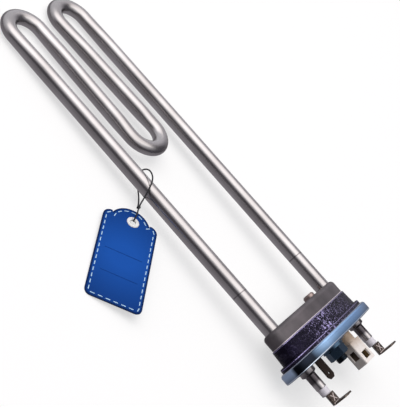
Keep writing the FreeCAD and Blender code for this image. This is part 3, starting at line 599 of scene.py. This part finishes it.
glint_flecks = add(tree, "ShaderNodeMapRange", {"From Min": FLECK_RANGE[0], "From Max": FLECK_RANGE[1]},
             {"Value": glint_noise.outputs[0]})
along_oval = add(tree, "ShaderNodeMapRange", {"From Min": GLINT_SPAN[0], "From Max": GLINT_SPAN[1]},
                 {"Value": axes.outputs["Y"]})
glint_share = add(tree, "ShaderNodeValToRGB", links={0: along_oval.outputs[0]})
for position, _ in GLINT_SHARES[1:-1]:
    glint_share.color_ramp.elements.new(position)
for stop, (_, share) in zip(glint_share.color_ramp.elements, GLINT_SHARES):
    stop.color = (share, share, share, 1)
# Painted glints: bright metallic flecks, mostly in the middle of the oval.
painted_glints = add(tree, "ShaderNodeMath", {"operation": "MULTIPLY"}, {0: glint_flecks.outputs[0], 1: glint_share.outputs[0]})
# Painted highlights: thin bright lines along the body's and the lip's pressed edges.
body_edge = edge_line(tree, axes.outputs["X"], BODY_EDGE_X, EDGE_HIGHLIGHT_HALF)
lip_edge = edge_line(tree, axes.outputs["X"], LIP_EDGE_X, EDGE_HIGHLIGHT_HALF)
edges = add(tree, "ShaderNodeMath", {"operation": "MAXIMUM"},
            {0: body_edge.outputs[0], 1: lip_edge.outputs[0]})
faint_edge_highlights = add(tree, "ShaderNodeMath", {"operation": "MULTIPLY", 1: EDGE_HIGHLIGHT_SHARE}, {0: edges.outputs[0]})
glints_shown = add(tree, "ShaderNodeMath", {"operation": "MAXIMUM"}, {0: painted_glints.outputs[0], 1: faint_edge_highlights.outputs[0]})
rubber_and_glints = add(tree, "ShaderNodeMixShader", links={
    0: glints_shown.outputs[0], 1: rubber.outputs[0], 2: glint_shader.outputs[0],
})
finish_with(rubber_with_glints, rubber_and_glints)
refinish("gasket", rubber_with_glints)

# Outer plate: a pressed steel pan, zinc plated and passivated blue, with a boss in its middle
# that the nut pulls against.
REFLECTION_HALF = 0.045
PAINTED_REFLECTION_TONES = ((-0.044, "#10141d"), (-0.034, "#1c2330"), (-0.021, "#a2c8f2"),
              (0.018, "#86b0e2"), (0.036, "#7894b8"))
TOP_SIDE_Z = (0.0015, 0.0035)
PAN_EDGE_X = 0.0026
RIM_GLINT_X = RIM_X - 0.0005
RIM_SHADE_X = (0.0048, RIM_X - 0.001)
RIM_SHADE_SHARE = 0.55
SPANGLE_SIZE = 0.002857

blue_zinc = new_material("blue_passivated_zinc")
# Blue passivated zinc: a metallic light blue, with painted reflection bands along the oval on its top side,
# nearly black at the near end, paler below, painted shade towards the rim and painted highlights along both
# edges.
tree = blue_zinc.node_tree
place = add(tree, "ShaderNodeTexCoord")
axes = add(tree, "ShaderNodeSeparateXYZ", links={0: place.outputs["Object"]})
# Painted reflection: light and dark bands along the oval, on the top side only.
along_pan = add(tree, "ShaderNodeMapRange", {"From Min": -REFLECTION_HALF, "From Max": REFLECTION_HALF},
           {"Value": axes.outputs["Y"]})
tone = add(tree, "ShaderNodeValToRGB", links={0: along_pan.outputs[0]})
lay_tones(tone, [((shade_y + REFLECTION_HALF) / (2 * REFLECTION_HALF), code) for shade_y, code in PAINTED_REFLECTION_TONES])
high = add(tree, "ShaderNodeMapRange", {"From Min": TOP_SIDE_Z[0], "From Max": TOP_SIDE_Z[1]},
           {"Value": axes.outputs["Z"]})
shaded = add(tree, "ShaderNodeMix", {"data_type": "RGBA", 6: linear("#b7d0ef")},
             {0: high.outputs[0], 7: tone.outputs[0]})
# Painted highlights: thin pale lines along the pan's two edges.
inner_edge = edge_line(tree, axes.outputs["X"], PAN_EDGE_X, EDGE_GLINT_HALF)
outer_edge = edge_line(tree, axes.outputs["X"], RIM_GLINT_X, EDGE_GLINT_HALF)
painted_edge_glint = add(tree, "ShaderNodeMath", {"operation": "MAXIMUM"},
          {0: inner_edge.outputs[0], 1: outer_edge.outputs[0]})
spangle = add(tree, "ShaderNodeTexNoise", {"Scale": 1 / SPANGLE_SIZE, "Detail": 3.0},
              {0: place.outputs["Object"]})
gloss = add(tree, "ShaderNodeMapRange", {"To Min": 0.24, "To Max": 0.36}, {"Value": spangle.outputs[0]})
# Painted shade: darker towards the rim's free edge.
painted_rim_shade = add(tree, "ShaderNodeMapRange", {
    "From Min": RIM_SHADE_X[0], "From Max": RIM_SHADE_X[1], "To Min": 1.0, "To Max": RIM_SHADE_SHARE,
}, {"Value": axes.outputs["X"]})
rim_shaded = add(tree, "ShaderNodeVectorMath", {"operation": "SCALE"},
             {0: shaded.outputs[2], "Scale": painted_rim_shade.outputs[0]})
tint = add(tree, "ShaderNodeMix", {"data_type": "RGBA", 7: linear("#d3dfee")},
           {0: painted_edge_glint.outputs[0], 6: rim_shaded.outputs[0]})
plated = add(tree, "ShaderNodeBsdfPrincipled", {"Metallic": 0.9}, {
    "Base Color": tint.outputs[2], "Roughness": gloss.outputs[0],
})
finish_with(blue_zinc, plated)
refinish("outer_plate", blue_zinc)

# Stud, washer and nut: zinc plated steel. The stud is welded by its flat head under the inner
# plate, and its rolled M6 thread shows past the nut.
THREAD_PITCH = 0.001
THREAD_RISE = 0.0003
TURN_SIDES = 40
STUD_R = 0.003
STUD_CHAMFER = 0.0004

# Zinc plated steel: smooth dark blue-grey metal.
zinc_steel = plain_finish("zinc_plated_steel", "#42576a", metallic=1.0, rough=0.25,
                          grain=0.0008, depth=0.000004)
# The same plating under thread oil: nearly black.
oiled_stud = plain_finish("oiled_zinc_thread", "#1f262e", metallic=1.0, rough=0.3,
                          grain=0.0008, depth=0.000004)
refinish("plain_washer", zinc_steel)
refinish("clamp_nut", zinc_steel)
refinish("clamp_stud", oiled_stud)

nut_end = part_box("clamp_nut")[1].x
turns = (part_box("clamp_stud")[1].x - STUD_CHAMFER - nut_end - 2 * THREAD_RISE) / THREAD_PITCH
start_piece()
bpy.ops.mesh.primitive_circle_add(
    vertices=3, radius=THREAD_RISE, location=(nut_end + THREAD_RISE, 0, STUD_R),
    rotation=(math.pi / 2, 0, 0),
)
bpy.ops.object.transform_apply(location=True, rotation=True, scale=True)
winding = bpy.context.object.modifiers.new("winding", "SCREW")
winding.axis = "X"
winding.angle = 2 * math.pi * turns
winding.screw_offset = THREAD_PITCH * turns
winding.steps = round(TURN_SIDES * turns)
winding.render_steps = winding.steps
bpy.ops.object.modifier_apply(modifier=winding.name)
bpy.ops.object.mode_set(mode="EDIT")
bpy.ops.mesh.select_all(action="SELECT")
bpy.ops.mesh.fill_holes(sides=3)
outward()
close_piece("stud_thread", oiled_stud, 30)

# Earth blade: a steel strip of the terminals' size that takes the earth wire. It is welded by
# its foot to the floor of the outer plate.

# Earth strip: dark brown metal, a little dull.
dark_brown_strip = plain_finish("dark_brown_steel_strip", "#33271f", metallic=0.8, rough=0.4,
                        grain=0.0009, depth=0.00002)
refinish("earth_tab", dark_brown_strip)

# Temperature sensor: a drawn sleeve with the sensing bead potted in its tip, held by the neck
# of a cream nylon socket that has a window in its top and its side.
SOCKET_MIDDLE = (0.0240, 0.015, 0)
SOCKET_HALF = (0.0076, 0.0046, 0.0026)
SOCKET_FLOOR_Z = (-0.0012, 0.0004)
SIDE_SKIN = (0.0002, 0.0006)
SIDE_SHADE_SHARE = 0.68
PLATE_SHADE_X = (0.012, 0.019)
CLOUD_SIZE = 0.003333
GRIT_SIZE = 0.0004
NYLON_TONES = ((0.3, "#ece3dc"), (0.7, "#f8f3ef"))
side_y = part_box("sensor_housing")[0].y

# Drawn stainless sleeve: warm grey metal with a soft shine.
drawn_sleeve = plain_finish("drawn_sleeve", "#ab9a95", metallic=0.9, rough=0.35,
                            grain=0.0008, depth=0.00001)
# Tinned copper: yellowish metal, fairly bright.
tinned_copper = plain_finish("tinned_copper", "#b98f5a", metallic=1.0, rough=0.3,
                             grain=0.0004, depth=0.00001)
# Glass coated bead: dark grey and shiny.
glass_bead = plain_finish("glass_bead", "#33333a", metallic=0.0, rough=0.15,
                          grain=0.0008, depth=0.00001)
# Cast resin: black with a low shine.
cast_resin = plain_finish("cast_resin", "#1c1b1b", metallic=0.0, rough=0.4,
                          grain=0.0008, depth=0.00001)
refinish("sensor_probe", drawn_sleeve)
refinish("thermistor", glass_bead)
refinish("sensor_leads", tinned_copper)
refinish("sensor_contacts", tinned_copper)
refinish("sensor_potting", cast_resin)

moulded_nylon = new_material("moulded_cream_nylon")
# Natural nylon: cream and satin outside, with painted shade on its near side and, brownish, towards
# the plate, and a resin brown inside the socket with painted shade darker towards its floor.
tree = moulded_nylon.node_tree
place = add(tree, "ShaderNodeTexCoord")
axes = add(tree, "ShaderNodeSeparateXYZ", links={0: place.outputs["Object"]})
inner = add(tree, "ShaderNodeMapping", {
    "Location": tuple(-a / b for a, b in zip(SOCKET_MIDDLE, SOCKET_HALF)),
    "Scale": tuple(1 / b for b in SOCKET_HALF),
}, {0: place.outputs["Object"]})
span = add(tree, "ShaderNodeVectorMath", {"operation": "ABSOLUTE"}, {0: inner.outputs[0]})
sides = add(tree, "ShaderNodeSeparateXYZ", links={0: span.outputs[0]})
wider = add(tree, "ShaderNodeMath", {"operation": "MAXIMUM"}, {0: sides.outputs["X"], 1: sides.outputs["Y"]})
widest = add(tree, "ShaderNodeMath", {"operation": "MAXIMUM"}, {0: wider.outputs[0], 1: sides.outputs["Z"]})
inside = add(tree, "ShaderNodeMath", {"operation": "LESS_THAN", 1: 1.0}, {0: widest.outputs[0]})
cloud = add(tree, "ShaderNodeTexNoise", {"Scale": 1 / CLOUD_SIZE, "Detail": 2.0},
            {0: place.outputs["Object"]})
cream = add(tree, "ShaderNodeValToRGB", links={0: cloud.outputs[0]})
lay_tones(cream, NYLON_TONES)
# Inside the socket: a resin brown, with painted shade darker towards the socket's floor.
raised = add(tree, "ShaderNodeMapRange", {"From Min": SOCKET_FLOOR_Z[0], "From Max": SOCKET_FLOOR_Z[1]},
             {"Value": axes.outputs["Z"]})
socket_brown_and_shade = add(tree, "ShaderNodeMix", {"data_type": "RGBA", 6: linear("#43352c"), 7: linear("#b09566")},
            {0: raised.outputs[0]})
# Painted shade on the socket's near side.
painted_side_shade = add(tree, "ShaderNodeMapRange", {
    "From Min": side_y + SIDE_SKIN[0], "From Max": side_y + SIDE_SKIN[1], "To Min": SIDE_SHADE_SHARE, "To Max": 1.0,
}, {"Value": axes.outputs["Y"]})
side_shaded = add(tree, "ShaderNodeVectorMath", {"operation": "SCALE"},
            {0: cream.outputs[0], "Scale": painted_side_shade.outputs[0]})
# Painted shade, brownish, towards the plate.
painted_plate_shade = add(tree, "ShaderNodeMapRange", {"From Min": PLATE_SHADE_X[1], "From Max": PLATE_SHADE_X[0]},
               {"Value": axes.outputs["X"]})
plate_shaded = add(tree, "ShaderNodeMix", {"data_type": "RGBA", "blend_type": "MULTIPLY", 7: linear("#c9b39b")},
               {0: painted_plate_shade.outputs[0], 6: side_shaded.outputs[0]})
socket_stained_and_shaded = add(tree, "ShaderNodeMix", {"data_type": "RGBA"},
              {0: inside.outputs[0], 6: plate_shaded.outputs[2], 7: socket_brown_and_shade.outputs[2]})
grit = add(tree, "ShaderNodeTexNoise", {"Scale": 1 / GRIT_SIZE, "Detail": 2.0}, {0: place.outputs["Object"]})
relief = add(tree, "ShaderNodeBump", {"Strength": 0.4, "Distance": 0.00001}, {"Height": grit.outputs[0]})
satin = add(tree, "ShaderNodeMapRange", {"To Min": 0.38, "To Max": 0.52}, {"Value": grit.outputs[0]})
nylon = add(tree, "ShaderNodeBsdfPrincipled", links={
    "Base Color": socket_stained_and_shaded.outputs[2], "Roughness": satin.outputs[0], "Normal": relief.outputs[0],
})
finish_with(moulded_nylon, nylon)
refinish("sensor_housing", moulded_nylon)

# Hang tag: coated card printed deep blue on both sides, with a navy border and cut edge. Its
# lower left corner stands on the table, and the thread through its eyelet holds its head up.
TAG_PLACE = (-0.0734, -0.09985)
TAG_TURNS = (31.7, 4.0, -8.0)
TAG_T = 0.0005
TAG_WIDE = 0.01455
TAG_LONG = 0.0571
TAG_CORNER = 0.0034
TAG_SHOULDER = 0.0042
TAG_NOTCH = (0.0099, 0.0562)
TAG_TOP = 0.0627
TAG_BORDER = 0.0009
TAG_HOLE_R = 0.00165
CORNER_STEPS = 8
SHOULDER_STEPS = 10
ARCH_STEPS = 16
HOLE_SIDES = 48
ON_MIDDLE_LINE = 0.000001
EYELET_SPOT = (0.0012, 0.0547)
PRINT_MIDDLE = (0, 0.031, 0)
PRINT_R = 0.036
FIBRE_SIZE = 0.0005556
PRINT_TONES = ((0.05, "#04357a"), (0.8, "#1350a8"))

rise = TAG_TOP - TAG_NOTCH[1]
ARCH_R = (TAG_NOTCH[0] ** 2 + rise ** 2) / (2 * rise)
tag_turn = Matrix.Rotation(math.radians(TAG_TURNS[0]), 4, "Z")
tag_turn = tag_turn @ Matrix.Rotation(math.radians(TAG_TURNS[1]), 4, "X")
tag_turn = tag_turn @ Matrix.Rotation(math.radians(TAG_TURNS[2]), 4, "Y")
resting = tag_turn @ Vector((TAG_CORNER - TAG_WIDE, TAG_CORNER, 0))
drop = TAG_CORNER * math.hypot(tag_turn[2][0], tag_turn[2][1])
table_z = LOWEST_Z + floor_rise * (TAG_PLACE[0] + resting.x - RIM_X)
tag_frame = Matrix.Translation((*TAG_PLACE, table_z - resting.z + drop)) @ tag_turn


def arc_points(centre, radius, start, sweep, steps):
    """Points along an arc, in degrees, seen from above."""
    angles = [math.radians(start + sweep * step / steps) for step in range(steps + 1)]
    return [(centre[0] + radius * math.cos(a), centre[1] + radius * math.sin(a)) for a in angles]


def tag_edge(inset):
    """Right half of the card's outline, moved inwards, from the bottom to the top."""
    corner_place = (TAG_WIDE - TAG_CORNER, TAG_CORNER)
    shoulder_place = (TAG_WIDE - TAG_SHOULDER, TAG_LONG - TAG_SHOULDER)
    corner = arc_points(corner_place, TAG_CORNER - inset, -90, 90, CORNER_STEPS)
    shoulder = arc_points(shoulder_place, TAG_SHOULDER - inset, 0, 90, SHOULDER_STEPS)
    arch_centre = TAG_TOP - ARCH_R
    arch_r = ARCH_R - inset
    start = math.degrees(math.asin((TAG_NOTCH[1] - inset - arch_centre) / arch_r))
    return corner + shoulder + arc_points((0, arch_centre), arch_r, start, 90 - start, ARCH_STEPS)


def whole_outline(half):
    """Closed outline from its right half."""
    return half + [(-x, y) for x, y in reversed(half) if x > ON_MIDDLE_LINE]


def outline_piece(points):
    """Flat face with its corners at the points, as the active object in edit mode."""
    start_piece()
    bpy.ops.mesh.primitive_circle_add(vertices=len(points), radius=0.01, fill_type="NGON")
    mesh = bpy.context.object.data
    for vertex, point in zip(mesh.vertices, points):
        vertex.co = (*point, 0) if len(point) == 2 else point
    bpy.ops.object.mode_set(mode="EDIT")
    bpy.ops.mesh.select_all(action="SELECT")


printed_card = new_material("printed_coated_card")
# Coated card: an even deep blue print, a little lighter in the middle, with a satin coat.
tree = printed_card.node_tree
print_place = tag_frame @ Vector(PRINT_MIDDLE)
place = add(tree, "ShaderNodeTexCoord")
near = add(tree, "ShaderNodeMapping", {
    "Location": tuple(-part / PRINT_R for part in print_place), "Scale": (1 / PRINT_R,) * 3,
}, {0: place.outputs["Object"]})
ball = add(tree, "ShaderNodeTexGradient", {"gradient_type": "SPHERICAL"}, {0: near.outputs[0]})
ink = add(tree, "ShaderNodeValToRGB", links={0: ball.outputs[0]})
lay_tones(ink, PRINT_TONES)
fibre = add(tree, "ShaderNodeTexNoise", {"Scale": 1 / FIBRE_SIZE, "Detail": 3.0},
            {0: place.outputs["Object"]})
relief = add(tree, "ShaderNodeBump", {"Strength": 0.3, "Distance": 0.00001}, {"Height": fibre.outputs[0]})
satin = add(tree, "ShaderNodeMapRange", {"To Min": 0.5, "To Max": 0.62}, {"Value": fibre.outputs[0]})
card_body = add(tree, "ShaderNodeBsdfPrincipled", {"Specular IOR Level": 0.06}, {
    "Base Color": ink.outputs[0], "Roughness": satin.outputs[0], "Normal": relief.outputs[0],
})
finish_with(printed_card, card_body)
# Border and cut edge of the same card: darker navy, quite matt.
navy_print = plain_finish("navy_printed_edge", "#03285f", metallic=0.0, rough=0.6,
                          grain=0.002, depth=0.00001, specular=0.06)

hole = arc_points(EYELET_SPOT, TAG_HOLE_R, 0, 360 - 360 / HOLE_SIDES, HOLE_SIDES - 1)
outlines = [whole_outline(tag_edge(0)), whole_outline(tag_edge(TAG_BORDER)), hole]
outline_piece(outlines[0])
bpy.ops.mesh.delete(type="ONLY_FACE")
for outline in outlines[1:]:
    bpy.ops.mesh.primitive_circle_add(vertices=len(outline), radius=0.01)
bpy.ops.object.mode_set(mode="OBJECT")
card = bpy.context.object
corners = [corner for outline in outlines for corner in outline]
for vertex, corner in zip(card.data.vertices, corners):
    vertex.co = (*corner, 0)


def select_rings(first, last):
    """Select the edges of some of the card's outlines, in edit mode."""
    starts = [sum(len(outline) for outline in outlines[:number]) for number in (first, last + 1)]
    bpy.ops.object.mode_set(mode="OBJECT")
    for vertex in card.data.vertices:
        vertex.select = starts[0] <= vertex.index < starts[1]
    for edge in card.data.edges:
        edge.select = all(starts[0] <= index < starts[1] for index in edge.vertices)
    for face in card.data.polygons:
        face.select = False
    bpy.ops.object.mode_set(mode="EDIT")


select_rings(0, 1)
bpy.ops.mesh.bridge_edge_loops()
select_rings(1, 2)
bpy.ops.mesh.fill(use_beauty=True)
bpy.ops.mesh.select_all(action="SELECT")
extrude((0, 0, TAG_T))
bpy.ops.object.mode_set(mode="OBJECT")
card.data.materials.append(printed_card)
card.data.materials.append(navy_print)
for face in card.data.polygons:
    face.material_index = 0 if len(face.vertices) == 3 else 1
outward()
card.matrix_world = tag_frame
card.name = "printed_card"
card.data.name = "printed_card"
bpy.ops.object.transform_apply(location=True, rotation=True, scale=True)
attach(card, "root")
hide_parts("hang_tag")

# Dashes and rules on the card: screen printed ink that stands a little proud. The pale dashes
# run in a row inside the edge, and two fine darker rules cross the card.
DASH_LENGTH = 0.0024
DASH_PITCH = 0.0039
DASH_WIDTH = 0.0005
DASH_INSET = 0.0018
RULE_HALF = 0.0098
RULE_WIDTH = 0.0004
RULE_PLACES = (0.0176, 0.0322)
INK_T = 0.00005
BAR_SIDES = 12

# Pale blue screen ink: light and matt.
pale_ink = plain_finish("pale_blue_screen_ink", "#b9ddf6", metallic=0.0, rough=0.6,
                        grain=0.0006, depth=0.00001, specular=0.2)
# Dark blue screen ink: only a little lighter than the print below it.
rule_ink = plain_finish("dark_blue_screen_ink", "#0a3d86", metallic=0.0, rough=0.6,
                        grain=0.002, depth=0.00001, specular=0.06)


def printed_bar(length, width, middle, turn, material):
    """Round ended bar of ink on the card."""
    start_piece()
    bpy.ops.mesh.primitive_cylinder_add(vertices=BAR_SIDES, radius=width / 2, depth=INK_T)
    bar = bpy.context.object
    for vertex in bar.data.vertices:
        vertex.co.x += math.copysign((length - width) / 2, vertex.co.x)
    bar.data.materials.append(material)
    on_card = Matrix.Translation((*middle, TAG_T + INK_T / 2)) @ Matrix.Rotation(turn, 4, "Z")
    bar.matrix_world = tag_frame @ on_card
    return bar


def join_pieces(pieces, name, material):
    """Make one piece out of several."""
    start_piece()
    for piece in pieces:
        piece.select_set(True)
    bpy.context.view_layer.objects.active = pieces[0]
    bpy.ops.object.transform_apply(location=True, rotation=True, scale=True)
    bpy.ops.object.join()
    return close_piece(name, material)


row = whole_outline(tag_edge(DASH_INSET))
row.append(row[0])
lengths = [math.dist(a, b) for a, b in zip(row, row[1:])]
count = round(sum(lengths) / DASH_PITCH)
dashes = []
for number in range(count):
    ahead = (number + 0.5) * sum(lengths) / count
    for (a, b), length in zip(zip(row, row[1:]), lengths):
        if ahead <= length:
            break
        ahead -= length
    middle = [a[k] + (b[k] - a[k]) * ahead / length for k in (0, 1)]
    turn = math.atan2(b[1] - a[1], b[0] - a[0])
    dashes.append(printed_bar(DASH_LENGTH, DASH_WIDTH, middle, turn, pale_ink))
dash_row = join_pieces(dashes, "printed_dashes", pale_ink)
rules = [printed_bar(2 * RULE_HALF, RULE_WIDTH, (0, rule_y), 0, rule_ink) for rule_y in RULE_PLACES]
rule_pair = join_pieces(rules, "printed_rules", rule_ink)

# Eyelet: a moulded white ring in the head of the card. Its flange is rounded over the card's
# front, and its barrel goes through the hole.
EYELET_R = 0.0033
EYELET_HOLE_R = 0.0014
EYELET_RISE = 0.0005
FLANGE_STEPS = 16
EYELET_SIDES = 64

# Moulded plastic ring: white with a soft shine.
moulded_ring = plain_finish("moulded_white_ring", "#f2f1ef", metallic=0.0, rough=0.4,
                            grain=0.001, depth=0.00001)
ring_middle = (EYELET_R + EYELET_HOLE_R) / 2
ring_half = (EYELET_R - EYELET_HOLE_R) / 2
ring_profile = [(EYELET_HOLE_R, 0, 0)]
for step in range(FLANGE_STEPS + 1):
    angle = math.pi * (1 - step / FLANGE_STEPS)
    ring_profile.append((ring_middle + ring_half * math.cos(angle), 0, TAG_T + EYELET_RISE * math.sin(angle)))
ring_profile.append((TAG_HOLE_R, 0, TAG_T))
ring_profile.append((TAG_HOLE_R, 0, 0))
outline_piece(ring_profile)
bpy.ops.mesh.delete(type="ONLY_FACE")
bpy.ops.mesh.select_all(action="SELECT")
bpy.ops.mesh.spin(steps=EYELET_SIDES, angle=2 * math.pi, center=(0, 0, 0), axis=(0, 0, 1))
outward()
bpy.context.object.matrix_world = tag_frame @ Matrix.Translation((*EYELET_SPOT, 0))
eyelet = close_piece("eyelet_ring", moulded_ring, 50)
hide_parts("tag_eyelet")

# Thread: thin waxed twine that hangs the card from the heater. It runs from the eyelet over the
# near leg, round it and back, and a small knot closes the loop between the leg and the card.
THREAD_D = 0.0008
KNOT_PLACE = (-0.1059, -0.0445, -0.0022)
KNOT_R = 0.000252
KNOT_SWAY = 1.6
KNOT_STEPS = 18
THREAD_ROUTE = [
    (-0.1015, -0.0522, -0.0046),
    (-0.1024, -0.0516, -0.0009),
    (-0.1059, -0.0448, -0.0016),
    (-0.1080, -0.0397, 0.0009),
    (-0.1098, -0.0368, 0.0050),
    (-0.1127, -0.0326, 0.0080),
    (-0.1184, -0.0270, 0.0060),
    (-0.1216, -0.0266, 0.0018),
    (-0.1202, -0.0268, -0.0036),
    (-0.1170, -0.0258, -0.0080),
    (-0.1125, -0.0300, -0.0082),
    (-0.1100, -0.0348, -0.0066),
    (-0.1079, -0.0396, -0.0046),
    (-0.1064, -0.0439, -0.0030),
]

# Waxed thread: almost black, with a faint sheen on its fibres.
waxed_thread = plain_finish("waxed_black_thread", "#17181f", metallic=0.0, rough=0.55,
                            grain=0.0003, depth=0.00008)


def thread_curve(name, points, thickness, closed=False):
    """Smooth round thread along a row of points."""
    data = bpy.data.curves.new(name, "CURVE")
    data.dimensions = "3D"
    spline = data.splines.new("NURBS")
    spline.points.add(len(points) - 1)
    for point, spot in zip(spline.points, points):
        point.co = (*spot, 1.0)
    spline.order_u = 3
    spline.use_endpoint_u = not closed
    spline.use_cyclic_u = closed
    spline.resolution_u = 8
    data.bevel_depth = thickness / 2
    data.bevel_resolution = 4
    data.use_fill_caps = True
    data.materials.append(waxed_thread)
    made = bpy.data.objects.new(name, data)
    bpy.context.scene.collection.objects.link(made)
    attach(made, "root")
    return made


knot_points = []
for step in range(KNOT_STEPS):
    angle = 2 * math.pi * step / KNOT_STEPS
    bight = Vector((
        math.sin(angle) + 2 * math.sin(2 * angle),
        -KNOT_SWAY * math.sin(3 * angle),
        math.cos(angle) - 2 * math.cos(2 * angle),
    ))
    knot_points.append(Vector(KNOT_PLACE) + KNOT_R * bight)
knot = thread_curve("thread_knot", knot_points, THREAD_D, closed=True)
thread = thread_curve("thread", THREAD_ROUTE, THREAD_D)
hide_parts("tag_thread")
